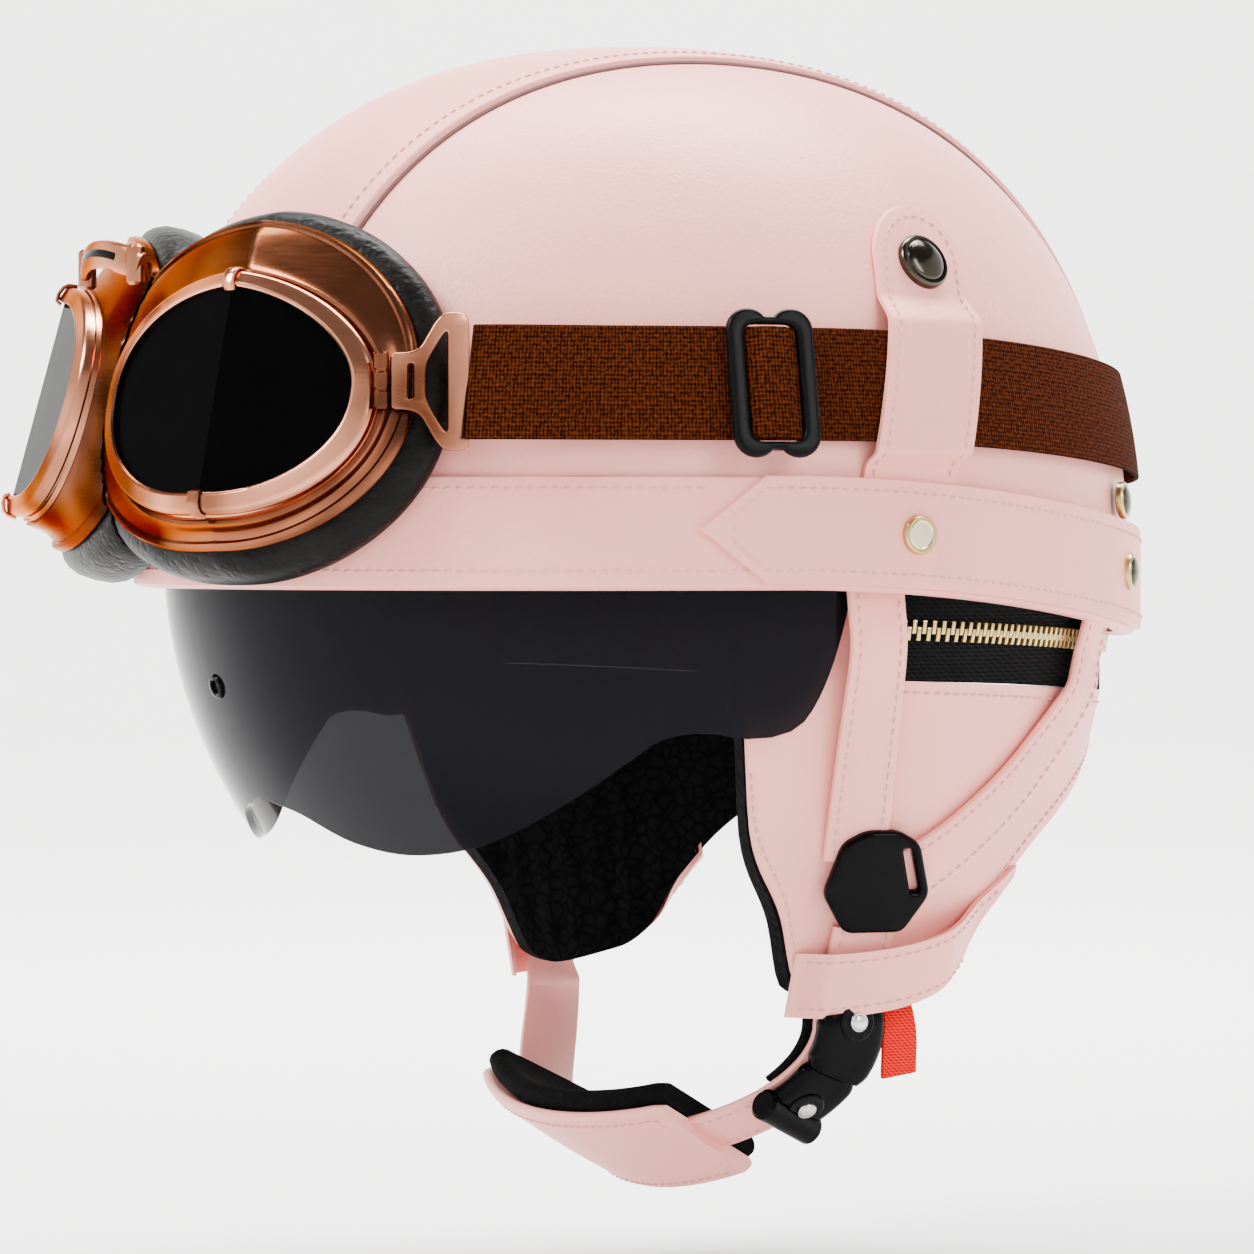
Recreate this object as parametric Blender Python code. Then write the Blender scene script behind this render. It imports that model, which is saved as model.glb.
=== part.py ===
"""A leather-covered motorcycle half helmet with flying goggles, a drop-down sun visor, a zipped neck
curtain with ear flaps, and a buckled chin strap. Front is -Y, the wearer's left is +X, up is +Z.
The origin is the middle of the head opening, level with the shell's front rim.

Turns are in degrees round the helmet: 0 is the front, 90 the wearer's left, 180 the back.
"""

import math

import bmesh
import bpy
from mathutils import Matrix, Vector

MM = 0.001
LEFT, RIGHT = 1, -1
SIDE_NAMES = {LEFT: "left", RIGHT: "right"}

# Gaps
TOUCH = 0.3 * MM  # between pieces that lie on each other
LOOSE = 0.5 * MM  # round a turning piece
FACET = 0.5 * MM  # room for the flats of two round faces that lie on each other

# Shell
SHELL_HALF_WIDTH = 118 * MM
SHELL_HALF_LENGTH = 138.5 * MM
SHELL_HEIGHT = 141.5 * MM
SHELL_FULLNESS = 2.35  # 2 is an ellipsoid, more is squarer in the side view
SHELL_WALL = 4 * MM
REAR_DROP = 14 * MM  # how much lower the rim is at the back
DROP_STARTS, DROP_ENDS = 80, 160

# Liner
HEAD_HALF_WIDTH = 79 * MM
HEAD_HALF_LENGTH = 101 * MM
HEAD_HEIGHT = 111 * MM
LINER_RAISE = 6 * MM  # its lower edge above the shell's
VISOR_POCKET = 12 * MM  # depth of the slot in front of the liner
POCKET_TOP = 106 * MM
POCKET_BACK = 92

# Leather on the shell
LEATHER = 1.2 * MM
PANEL_HALF_WIDTH = 40 * MM
BAND_HEIGHT = 27 * MM
ARROW_TURN = 70  # where the rear band's pointed ends lie
ARROW_LENGTH = 7  # degrees

# Elastic strap
STRAP_HEIGHT = 28.5 * MM
STRAP_THICK = 1.4 * MM
STRAP_LEVEL = 50 * MM
STRAP_REAR_FALL = 10 * MM
STRAP_TURN = 46  # where it leaves the goggle hook
STRAP_DOWN = 62  # where it comes to lie on the helmet
HOOK_STAND = 10 * MM
SLIDER_TURN = 77.5
SLIDER_WIDTH, SLIDER_HEIGHT = 23 * MM, 38 * MM
SLIDER_BAR, SLIDER_THICK = 3.4 * MM, 3 * MM

# Strap keeper tabs
TAB_TURN, TAB_LEAN = 94.5, 8.5  # its foot, and how many degrees further back its top is
TAB_WIDTH = 29 * MM
TAB_TOP = 97 * MM
SNAP_LEVEL = 82 * MM
SNAP_RADIUS, SNAP_HEIGHT = 7.5 * MM, 3.2 * MM
RIVET_RADIUS, RIVET_HEIGHT = 5 * MM, 2.6 * MM
BAND_RIVET_TURN = 94.5
REAR_STUD_TURN = 136

# Goggles
GOGGLE_OUT = 51 * MM  # the crease of each eyecup from the middle plane
GOGGLE_FORWARD = SHELL_HALF_LENGTH + 16.5 * MM
GOGGLE_LEVEL = 54 * MM
GOGGLE_TURN = 27
GOGGLE_LEAN = 15
RIM_INNER, RIM_OUTER = 47 * MM, 38 * MM  # eyecup half widths, towards the nose and the temple
RIM_HALF_HEIGHT = 33 * MM
RIM_WIDTH = 5 * MM
RIM_BACK, CUP_BACK = 0.2, 0.5  # shares of the room between the lens's front and the shell
LENS_THICK, LENS_DEPTH = 2 * MM, 2 * MM  # and how deep it sits in its rim
FOLD_IN, FOLD_OUT = 15, 20  # degrees that the panes fall back from the crease
CUP_FLARE = 9 * MM
CUP_WALL = 1.5 * MM
PAD_SPREAD = 5 * MM
PAD_WIDTH = 11 * MM
NOSE_GAP = 1 * MM  # between each eyecup and the middle plane
HOOK_NECK, HOOK_MOUTH = 14 * MM, 34 * MM
HOOK_THICK = 1.6 * MM
HOOK_BAR, HOOK_SLIT, HOOK_CORNER = 3 * MM, 1.8 * MM, 2 * MM
HINGE_RADIUS = 2 * MM
BRIDGE_REACH = 17 * MM  # from the middle plane to each end
BRIDGE_FORWARD, BRIDGE_LEVEL = GOGGLE_FORWARD + 5 * MM, 84 * MM
BRIDGE_BOW = 4 * MM
BRIDGE_HEIGHT, BRIDGE_THICK = 7.5 * MM, 3 * MM

# Sun visor
VISOR_SIDE_ROOM, VISOR_FRONT_ROOM = 6.3 * MM, 2.5 * MM  # between it and the shell
PIVOT_BACK, PIVOT_UP = 2 * MM, 10 * MM
VISOR_HALF_WIDTH = SHELL_HALF_WIDTH - SHELL_WALL - VISOR_SIDE_ROOM
# From the pivot to its front.
VISOR_REACH = SHELL_HALF_LENGTH - SHELL_WALL + PIVOT_BACK - VISOR_FRONT_ROOM
VISOR_FULLNESS = 2.1
VISOR_WALL = 2 * MM
PIVOT_RADIUS = 4.5 * MM
PIVOT_HEAD, PIVOT_HEAD_THICK = 7.5 * MM, 1.5 * MM
VISOR_EAR = 9 * MM  # radius of the round end about the pivot
VISOR_TOP = 3  # degrees above level, inside the shell
KNOB_LEVEL, KNOB_RADIUS, KNOB_HEIGHT = -27 * MM, 3.3 * MM, 0.9 * MM
# Lower edge of the visor: share of its half width, degrees below level.
VISOR_EDGE = (
    (0.00, 29.5),
    (0.14, 31.5),
    (0.28, 36.5),
    (0.42, 40.3),
    (0.60, 43.0),
    (0.75, 43.7),
    (0.86, 44.3),
    (0.90, 50.0),
    (0.925, 65.0),
    (0.945, 74.0),
    (0.975, 78.0),
    (1.00, 80.0),
)

# Zip and neck curtain
ZIP_START = 95.5
TAPE_ABOVE, TAPE_BELOW = 16 * MM, 13 * MM  # of the teeth
TAPE_THICK = 1.2 * MM
ZIP_BELOW_RIM = 11 * MM
TEETH_HEIGHT, TEETH_THICK = 5 * MM, 1.4 * MM
TAPE_INSET = 3 * MM  # how far its lower edge comes in
CURTAIN_THICK = 1.6 * MM
CURTAIN_TAPER_SIDE, CURTAIN_TAPER_BACK = 0.33, 0.12
FLAP_INSET = 9.5 * MM  # behind the visor's arms
FLAP_DEPTH = 108 * MM
CURTAIN_LAP = 5 * MM  # its top below the shell's rim, in front of the zip
LINING_LAP = 2 * MM  # and the lining's below that
INSET_TOP, INSET_BOTTOM = -2 * MM, -22 * MM  # where it comes in
CURTAIN_ROOM = 0.4 * MM  # inside the shell
LINING_THICK = 6 * MM
LINING_PROUD = 3 * MM  # how far the black lining shows past the leather's front edge
# Lower edge of the curtain: turn, share of the flap's depth.
CURTAIN_EDGE = (
    (78, 0.30),
    (82, 0.62),
    (88, 0.80),
    (92, 0.97),
    (97, 1.00),
    (108, 0.97),
    (113, 0.92),
    (118, 0.80),
    (129, 0.62),
    (142, 0.50),
    (157, 0.43),
    (180, 0.40),
)

# Straps, divider, belt loop and buckle
WEB_WIDTH, WEB_THICK = 17 * MM, 2.2 * MM
FRONT_STRAP_BACK, REAR_STRAP_TURN = 5 * MM, 130
DIVIDER_TURN, DIVIDER_LEVEL = 98, -77 * MM
DIVIDER_WIDTH, DIVIDER_HEIGHT, DIVIDER_THICK = 29 * MM, 28 * MM, 4 * MM
BELT_HEIGHT = 17 * MM
BELT_RISE = 6.8 * MM  # over the chin strap
BELT_FRONT_TURN, BELT_BACK_TURN = 90.5, 125
BELT_FRONT_LEVEL, BELT_BACK_LEVEL = -104.5 * MM, -78 * MM
LOOP_HALF_WIDTH = SHELL_HALF_WIDTH - 41 * MM
LOOP_TOP = -114 * MM
LOOP_BOTTOM = -152 * MM
LOOP_SIDE_BACK = 16 * MM
LOOP_CHIN_FORWARD = 14 * MM
LOOP_TILT = 32  # degrees that the strap leans forward under the chin
CUP_START, CUP_END = 56, 127  # where the chin cup lies round the loop
CUP_END_GAP = 0.4  # degrees from the strap's ends to the cup
CUP_WIDTH, CUP_THICK = 40 * MM, 3 * MM
CHIN_PAD_THICK = 6 * MM
BUCKLE_START, BUCKLE_END = 1, 38
BUCKLE_WIDTH, BUCKLE_THICK = 20 * MM, 6 * MM
SLIDE_WIDTH, SLIDE_THICK = 19 * MM, 5 * MM
BUCKLE_RIVET_RADIUS, BUCKLE_RIVET_HEIGHT = 2.6 * MM, 1.6 * MM
RELEASE_LENGTH, RELEASE_WIDTH, RELEASE_THICK = 23 * MM, 11 * MM, 1.8 * MM
RELEASE_FORWARD = 6 * MM  # of the buckle's edge

COLOURS = {
    "pink_leather": ((0.83, 0.60, 0.57), 0.5, 0.0),
    "shell_leather": ((0.85, 0.62, 0.59), 0.45, 0.0),
    "black_lining": ((0.012, 0.012, 0.013), 0.9, 0.0),
    "liner_foam": ((0.02, 0.02, 0.022), 0.9, 0.0),
    "brown_elastic": ((0.16, 0.045, 0.018), 0.85, 0.0),
    "copper": ((0.62, 0.27, 0.17), 0.25, 1.0),
    "dark_lens": ((0.01, 0.01, 0.012), 0.08, 0.0),
    "black_leather": ((0.018, 0.015, 0.015), 0.5, 0.0),
    "black_plastic": ((0.02, 0.02, 0.021), 0.35, 0.0),
    "smoke_visor": ((0.02, 0.02, 0.025), 0.05, 0.0),
    "dark_metal": ((0.10, 0.09, 0.07), 0.2, 1.0),
    "brass": ((0.62, 0.45, 0.20), 0.3, 1.0),
    "red_ribbon": ((0.75, 0.01, 0.01), 0.8, 0.0),
}


def clear_scene():
    for old in list(bpy.data.objects):
        bpy.data.objects.remove(old)


def material(name):
    made = bpy.data.materials.get(name)
    if made is None:
        made = bpy.data.materials.new(name)
        made.use_nodes = True
        colour, roughness, metallic = COLOURS[name]
        shader = made.node_tree.nodes["Principled BSDF"]
        shader.inputs["Base Color"].default_value = (*colour, 1)
        shader.inputs["Roughness"].default_value = roughness
        shader.inputs["Metallic"].default_value = metallic
    return made


def smooth(low, high, value):
    share = min(1.0, max(0.0, (value - low) / (high - low)))
    return share * share * (3 - 2 * share)


def mix(low, high, share):
    return low + (high - low) * share


def steps(low, high, count):
    """count + 1 evenly spaced values from low to high."""
    return [mix(low, high, k / count) for k in range(count + 1)]


def read_table(table, value):
    """The second column at a value of the first, straight between rows."""
    if value <= table[0][0]:
        return table[0][1]
    for (before, low), (after, high) in zip(table, table[1:]):
        if value <= after:
            return mix(low, high, (value - before) / (after - before))
    return table[-1][1]


def add_object(name, mesh_data, colour):
    """A node from a bmesh: doubles merged, faces pointing out, round parts smooth."""
    bmesh.ops.remove_doubles(mesh_data, verts=mesh_data.verts, dist=0.002 * MM)
    bmesh.ops.recalc_face_normals(mesh_data, faces=mesh_data.faces)
    mesh = bpy.data.meshes.new(name)
    mesh_data.to_mesh(mesh)
    mesh_data.free()
    mesh.materials.append(material(colour))
    mesh.shade_smooth()
    mesh.set_sharp_from_angle(angle=math.radians(40))
    made = bpy.data.objects.new(name, mesh)
    bpy.context.scene.collection.objects.link(made)
    return made


def mirrored(points, side):
    """The same points on the wearer's left or right."""
    return [Vector((p.x * side, p.y, p.z)) for p in points]


def sheet_solid(name, outer, inner, colour, wrap=False):
    """A wall between two grids of points, given as rows; wrap joins each row's ends."""
    shape = bmesh.new()
    front = [[shape.verts.new(p) for p in row] for row in outer]
    back = [[shape.verts.new(p) for p in row] for row in inner]
    columns = len(front[0])
    last = columns if wrap else columns - 1
    for row in range(len(front) - 1):
        for column in range(last):
            beside = (column + 1) % columns
            for grid in (front, back):
                shape.faces.new(
                    (grid[row][column], grid[row][beside], grid[row + 1][beside], grid[row + 1][column])
                )
    edges = [(front[0], back[0]), (front[-1], back[-1])]
    for one, other in edges:
        for column in range(last):
            beside = (column + 1) % columns
            if (one[column].co - one[beside].co).length > MM * TOUCH:
                shape.faces.new((one[column], one[beside], other[beside], other[column]))
    if not wrap:
        for column in (0, -1):
            for row in range(len(front) - 1):
                shape.faces.new(
                    (front[row][column], front[row + 1][column], back[row + 1][column], back[row][column])
                )
    return add_object(name, shape, colour)


def loft(name, sections, colour, closed=False):
    """Cross-sections joined in order; closed joins the last to the first, else the ends are capped."""
    shape = bmesh.new()
    rings = [[shape.verts.new(p) for p in section] for section in sections]
    count = len(rings[0])
    pairs = list(zip(rings, rings[1:]))
    if closed:
        pairs.append((rings[-1], rings[0]))
    for one, other in pairs:
        for k in range(count):
            beside = (k + 1) % count
            shape.faces.new((one[k], one[beside], other[beside], other[k]))
    if not closed:
        shape.faces.new(rings[0])
        shape.faces.new(rings[-1])
    return add_object(name, shape, colour)


def ribbon(name, line, normals, width, thick, colour):
    """A flat strap along a line of points, with its faces along the normals."""
    sections = []
    for k, point in enumerate(line):
        along = (line[min(k + 1, len(line) - 1)] - line[max(k - 1, 0)]).normalized()
        normal = (normals[k] - along * normals[k].dot(along)).normalized()
        across = along.cross(normal) * width / 2
        rise = normal * thick / 2
        sections.append([point - across - rise, point + across - rise,
                         point + across + rise, point - across + rise])
    return loft(name, sections, colour)


def placed(point, normal, spin=0):
    """A matrix that carries +Z to the normal, at a point."""
    return Matrix.Translation(point) @ normal.to_track_quat("Z", "Y").to_matrix().to_4x4() @ Matrix.Rotation(
        math.radians(spin), 4, "Z"
    )


def turned(name, profile, place, colour, sides=12):
    """A round piece: (radius, height) rows from the bottom to the top, then placed."""
    rings = []
    for radius, height in profile:
        rings.append([
            place @ Vector((radius * math.cos(math.tau * k / sides), radius * math.sin(math.tau * k / sides), height))
            for k in range(sides)
        ])
    return loft(name, rings, colour)


def plate(name, outline, holes, thick, place, colour):
    """A flat plate from an outline and its holes, as a filled curve with thickness."""
    curve = bpy.data.curves.new(name, "CURVE")
    curve.dimensions = "2D"
    curve.fill_mode = "BOTH"
    curve.extrude = thick / 2
    for points in (outline, *holes):
        spline = curve.splines.new("POLY")
        spline.points.add(len(points) - 1)
        spline.use_cyclic_u = True
        for target, (x, y) in zip(spline.points, points):
            target.co = (x, y, 0, 1)
    curve.materials.append(material(colour))
    made = bpy.data.objects.new(name, curve)
    made.matrix_world = place
    bpy.context.scene.collection.objects.link(made)
    return made


def rounded_box(half_x, half_y, radius, corner_steps=3, centre=(0, 0)):
    """Points of a rectangle with round corners, anticlockwise."""
    points = []
    for quarter, (sx, sy) in enumerate(((1, 1), (-1, 1), (-1, -1), (1, -1))):
        for angle in steps(quarter * 90, quarter * 90 + 90, corner_steps):
            turn = math.radians(angle)
            points.append((
                centre[0] + sx * (half_x - radius) + radius * math.cos(turn),
                centre[1] + sy * (half_y - radius) + radius * math.sin(turn),
            ))
    return points


# The shell's surface

def rim_level(turn):
    """Height of the shell's lower edge."""
    return -REAR_DROP * smooth(DROP_STARTS, DROP_ENDS, abs((turn + 180) % 360 - 180))


def spread_at(level, height):
    """How wide the dome is at a level, as a share of its width at the rim."""
    return (1 - (max(level, 0) / height) ** SHELL_FULLNESS) ** (1 / SHELL_FULLNESS)


def shell_point(turn, level, offset=0.0):
    """A point outside the shell by offset, or inside it if that is negative."""
    share = spread_at(level, SHELL_HEIGHT + offset)
    angle = math.radians(turn)
    return Vector((
        (SHELL_HALF_WIDTH + offset) * share * math.sin(angle),
        -(SHELL_HALF_LENGTH + offset) * share * math.cos(angle),
        level,
    ))


def surface_normal(surface, turn, level, offset=0.0):
    """The outward normal of a surface given by turn and level."""
    step_turn, step_level = 0.5, 0.5 * MM
    round_it = surface(turn + step_turn, level, offset) - surface(turn - step_turn, level, offset)
    up = surface(turn, level + step_level, offset) - surface(turn, level - step_level, offset)
    return round_it.cross(up).normalized()


def dome_grid(half_width, half_length, height, turns, rows, lower_edge):
    """Rows of points from a lower edge up to the crown."""
    grid = [[
        Vector((half_width * math.sin(math.radians(t)), -half_length * math.cos(math.radians(t)), lower_edge(t)))
        for t in turns
    ]]
    for k in range(1, rows + 1):
        latitude = math.radians(90) * (k / rows) ** 1.2
        level = height * math.sin(latitude) ** (2 / SHELL_FULLNESS)
        share = max(0.0, math.cos(latitude)) ** (2 / SHELL_FULLNESS) if k < rows else 0.0
        grid.append([
            Vector((
                half_width * share * math.sin(math.radians(t)),
                -half_length * share * math.cos(math.radians(t)),
                level if k < rows else height,
            ))
            for t in turns
        ])
    return grid


def build_shell():
    turns = steps(0, 360, 40)[:-1]
    outer = dome_grid(SHELL_HALF_WIDTH, SHELL_HALF_LENGTH, SHELL_HEIGHT, turns, 8, rim_level)
    inner = dome_grid(SHELL_HALF_WIDTH - SHELL_WALL, SHELL_HALF_LENGTH - SHELL_WALL,
                      SHELL_HEIGHT - SHELL_WALL, turns, 8, rim_level)
    dome_solid("crown_shell", outer, inner, "shell_leather")


def dome_solid(name, outer, inner, colour):
    """A hollow dome: two grids joined along the lower edge, each closed at its crown."""
    shape = bmesh.new()
    for grid in (outer, inner):
        rings = [[shape.verts.new(p) for p in row] for row in grid[:-1]]
        crown = shape.verts.new(grid[-1][0])
        count = len(rings[0])
        for one, other in zip(rings, rings[1:]):
            for k in range(count):
                beside = (k + 1) % count
                shape.faces.new((one[k], one[beside], other[beside], other[k]))
        for k in range(count):
            shape.faces.new((rings[-1][k], rings[-1][(k + 1) % count], crown))
        if grid is outer:
            outer_edge = rings[0]
        else:
            inner_edge = rings[0]
    for k in range(len(outer_edge)):
        beside = (k + 1) % len(outer_edge)
        shape.faces.new((outer_edge[k], outer_edge[beside], inner_edge[beside], inner_edge[k]))
    return add_object(name, shape, colour)


def build_liner():
    """Foam and its lining in five blocks: the crown, and four round the head."""
    turns = steps(0, 360, 32)[:-1]
    gap = SHELL_WALL + TOUCH + FACET

    def edge(turn):
        return rim_level(turn) + LINER_RAISE

    outer = dome_grid(SHELL_HALF_WIDTH - gap, SHELL_HALF_LENGTH - gap, SHELL_HEIGHT - gap, turns, 8, edge)
    for row in outer:
        for turn, point in zip(turns, row):
            off = abs((turn + 180) % 360 - 180)
            depth = 1 - smooth(POCKET_BACK, POCKET_BACK + 22, off)
            depth *= 1 - smooth(POCKET_TOP - 14 * MM, POCKET_TOP + 14 * MM, point.z)
            flat = Vector((point.x, point.y, 0))
            if flat.length > VISOR_POCKET:
                point -= flat.normalized() * VISOR_POCKET * depth
    inner = dome_grid(HEAD_HALF_WIDTH, HEAD_HALF_LENGTH, HEAD_HEIGHT, turns, 8, edge)
    crown_row = 4
    dome_solid("liner_crown", outer[crown_row:], inner[crown_row:], "liner_foam")
    quarter = len(turns) // 4
    for number, name in enumerate(("liner_side_left", "liner_nape", "liner_side_right", "liner_brow")):
        first = quarter // 2 + number * quarter
        grids = []
        for grid in (outer, inner):
            rows = [[grid[row][(first + k) % len(turns)].copy() for k in range(quarter + 1)]
                    for row in range(crown_row + 1)]
            for row in rows:
                row[0] += (row[1] - row[0]).normalized() * TOUCH / 2
                row[-1] += (row[-2] - row[-1]).normalized() * TOUCH / 2
            for lower, upper in zip(rows[-2], rows[-1]):
                upper += (lower - upper).normalized() * TOUCH
            grids.append(rows)
        sheet_solid(name, grids[0], grids[1], "liner_foam")


def panel_point(across, angle, offset):
    """A point on the crown at a sideways distance, and an angle from the front over the top."""
    width = SHELL_HALF_WIDTH + offset
    height = (SHELL_HEIGHT + offset) * (1 - (abs(across) / width) ** SHELL_FULLNESS) ** (1 / SHELL_FULLNESS)
    level = height * math.sin(math.radians(angle)) ** (2 / SHELL_FULLNESS)
    share = spread_at(level, SHELL_HEIGHT + offset)
    forward = (SHELL_HALF_LENGTH + offset) * math.sqrt(max(0.0, share**2 - (across / width) ** 2))
    return Vector((across, -forward if angle <= 90 else forward, level))


def panel_angle(across, level, offset):
    """The angle at which the panel is at a level."""
    width = SHELL_HALF_WIDTH + offset
    height = (SHELL_HEIGHT + offset) * (1 - (abs(across) / width) ** SHELL_FULLNESS) ** (1 / SHELL_FULLNESS)
    return math.degrees(math.asin((level / height) ** (SHELL_FULLNESS / 2)))


def build_crown_panel():
    grids = []
    for offset in (TOUCH + FACET + LEATHER, TOUCH + FACET):
        rows = []
        for share in steps(0, 1, 20):
            row = []
            for across in steps(-PANEL_HALF_WIDTH, PANEL_HALF_WIDTH, 6):
                start = panel_angle(across, BAND_HEIGHT + LOOSE, offset)
                end = 180 - panel_angle(across, BAND_HEIGHT + LOOSE - REAR_DROP * 0.9, offset)
                row.append(panel_point(across, mix(start, end, share), offset))
            rows.append(row)
        grids.append(rows)
    sheet_solid("crown_panel", grids[0], grids[1], "pink_leather")


def build_bands():
    turns = steps(0, 360, 40)[:-1]
    offsets = (2 * TOUCH + LEATHER, 2 * TOUCH)
    grids = [[[shell_point(t, rim_level(t) + rise, offset) for t in turns]
              for rise in (0, BAND_HEIGHT)] for offset in offsets]
    sheet_solid("brim_band", grids[0], grids[1], "pink_leather", wrap=True)

    base = offsets[0] + FACET
    tip, full = ARROW_TURN, ARROW_TURN + ARROW_LENGTH
    turns = [tip, *steps(full, 360 - full, 36), 360 - tip]
    grids = []
    for offset in (base + LEATHER, base):
        rows = []
        for share in steps(-1, 1, 2):
            row = []
            for turn in turns:
                half = BAND_HEIGHT / 2 if full <= turn <= 360 - full else 0.6 * MM
                middle = rim_level(turn) + BAND_HEIGHT / 2
                row.append(shell_point(turn, middle + share * half, offset))
            rows.append(row)
        grids.append(rows)
    sheet_solid("rear_band", grids[0], grids[1], "pink_leather")


def strap_level(turn):
    return STRAP_LEVEL - STRAP_REAR_FALL * smooth(85, 175, abs((turn + 180) % 360 - 180))


STRAP_OFFSET = 2 * (TOUCH + FACET) + LEATHER  # the strap's inner face above the shell


PAD_REST = 2 * (TOUCH + LEATHER) + FACET  # the pads lie on the crown panel and the brim band


def strap_stand(turn):
    """How far the strap's inner face is off the shell: it comes down from the goggle hooks."""
    off = abs((turn + 180) % 360 - 180)
    return mix(HOOK_STAND, STRAP_OFFSET, smooth(STRAP_TURN, STRAP_DOWN, off))


def build_elastic():
    turns = steps(STRAP_TURN, 360 - STRAP_TURN, 38)
    grids = [[[shell_point(t, strap_level(t) + share * STRAP_HEIGHT / 2, strap_stand(t) + thick) for t in turns]
              for share in (-1, 0, 1)] for thick in (STRAP_THICK, 0)]
    sheet_solid("elastic_strap", grids[0], grids[1], "brown_elastic")

    base = STRAP_THICK + TOUCH
    turns = steps(STRAP_TURN, SLIDER_TURN + 1, 12)
    grids = [[[shell_point(t, strap_level(t) + share * STRAP_HEIGHT / 2, strap_stand(t) + rise) for t in turns]
              for share in (-1, 0, 1)] for rise in (base + STRAP_THICK, base)]
    sheet_solid("strap_turnback", grids[0], grids[1], "brown_elastic")

    level = strap_level(SLIDER_TURN)
    normal = surface_normal(shell_point, SLIDER_TURN, level)
    offset = STRAP_OFFSET + base + STRAP_THICK + TOUCH + SLIDER_THICK / 2
    along = normal.cross(Vector((0, 0, 1))).normalized() * -1
    up = normal.cross(along)
    place = Matrix((along, up, normal)).transposed().to_4x4()
    place.translation = shell_point(SLIDER_TURN, level, offset)
    window = ((SLIDER_WIDTH - 2 * SLIDER_BAR) / 2, SLIDER_HEIGHT / 2 - SLIDER_BAR)
    plate("strap_slider", slider_outline(), [rounded_box(*window, SLIDER_BAR * 0.9)], SLIDER_THICK, place, "black_plastic")


def slider_outline():
    """A tall ring whose ends are two round lobes with a notch between."""
    points = []
    lobe = SLIDER_WIDTH / 4
    straight = SLIDER_HEIGHT / 2 - lobe
    for end, centres in ((1, (lobe, -lobe)), (-1, (-lobe, lobe))):
        for number, centre in enumerate(centres):
            first = (0, 40)[number] if end == 1 else (180, 220)[number]
            for angle in steps(first, first + 140, 4):
                turn = math.radians(angle)
                points.append((centre + lobe * math.cos(turn), end * straight + lobe * math.sin(turn)))
    return points


def tab_offset(level):
    """How far the keeper tab stands off the shell: it lies over the strap."""
    low = strap_level(TAB_TURN) - STRAP_HEIGHT / 2
    high = strap_level(TAB_TURN) + STRAP_HEIGHT / 2
    over = smooth(low - 6 * MM, low - 2 * MM, level) * (1 - smooth(high + 2 * MM, high + 10 * MM, level))
    return mix(TOUCH, STRAP_OFFSET + STRAP_THICK + FACET, over)


def build_tab(side):
    bottom = BAND_HEIGHT + LOOSE
    low, high = strap_level(TAB_TURN) - STRAP_HEIGHT / 2, strap_level(TAB_TURN) + STRAP_HEIGHT / 2
    levels = [bottom, low - 5 * MM, low - 2 * MM, *steps(low, high, 3), high + 2 * MM, high + 6 * MM,
              high + 10 * MM, TAB_TOP - TAB_WIDTH / 2]
    levels += [TAB_TOP - TAB_WIDTH / 2 * (1 - math.sin(math.radians(a))) for a in (22, 42, 60, 76)]
    grids = []
    for thickness in (LEATHER, 0):
        rows = []
        for level in levels:
            over = max(0.0, level - (TAB_TOP - TAB_WIDTH / 2))
            half = math.sqrt(max(0.0, (TAB_WIDTH / 2) ** 2 - over**2))
            middle = TAB_TURN + TAB_LEAN * (level - bottom) / (TAB_TOP - bottom)
            per_degree = (shell_point(middle + 0.5, level) - shell_point(middle - 0.5, level)).length
            rows.append([
                shell_point(middle + share * half / per_degree, level, tab_offset(level) + thickness)
                for share in (-1, -0.33, 0.33, 1)
            ])
        grids.append([mirrored(row, side) for row in rows])
    sheet_solid(f"keeper_tab_{SIDE_NAMES[side]}", grids[0], grids[1], "pink_leather")


def cap_profile(radius, height):
    """A domed snap with a rolled edge."""
    return ((radius * 0.9, 0), (radius, height * 0.45), (radius * 0.75, height * 0.85), (radius * 0.3, height))


def on_shell(turn, level, offset, side):
    """A place standing out of the shell on one side."""
    point = shell_point(turn, level, offset)
    normal = surface_normal(shell_point, turn, level, offset)
    return placed(*mirrored((point, normal), side))


def build_snaps(side):
    word = SIDE_NAMES[side]
    share = (SNAP_LEVEL - BAND_HEIGHT) / (TAB_TOP - BAND_HEIGHT)
    place = on_shell(TAB_TURN + TAB_LEAN * share, SNAP_LEVEL, tab_offset(SNAP_LEVEL) + LEATHER + TOUCH, side)
    turned(f"keeper_snap_{word}", cap_profile(SNAP_RADIUS, SNAP_HEIGHT), place, "dark_metal")
    band_face = 3 * TOUCH + 2 * LEATHER + FACET
    place = on_shell(BAND_RIVET_TURN, rim_level(BAND_RIVET_TURN) + BAND_HEIGHT / 2, band_face, side)
    turned(f"band_rivet_{word}", cap_profile(RIVET_RADIUS, RIVET_HEIGHT), place, "brass")
    low = rim_level(REAR_STUD_TURN) + BAND_HEIGHT / 2
    place = on_shell(REAR_STUD_TURN, low, band_face, side)
    turned(f"rear_stud_low_{word}", cap_profile(RIVET_RADIUS, RIVET_HEIGHT), place, "dark_metal")
    high = rim_level(REAR_STUD_TURN) + BAND_HEIGHT + RIVET_RADIUS + LOOSE
    place = on_shell(REAR_STUD_TURN, high, TOUCH, side)
    turned(f"rear_stud_high_{word}", cap_profile(RIVET_RADIUS, RIVET_HEIGHT + band_face), place, "dark_metal")


# Goggles, made in an eyecup's own frame: x to the temple, y up, z forward

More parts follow.
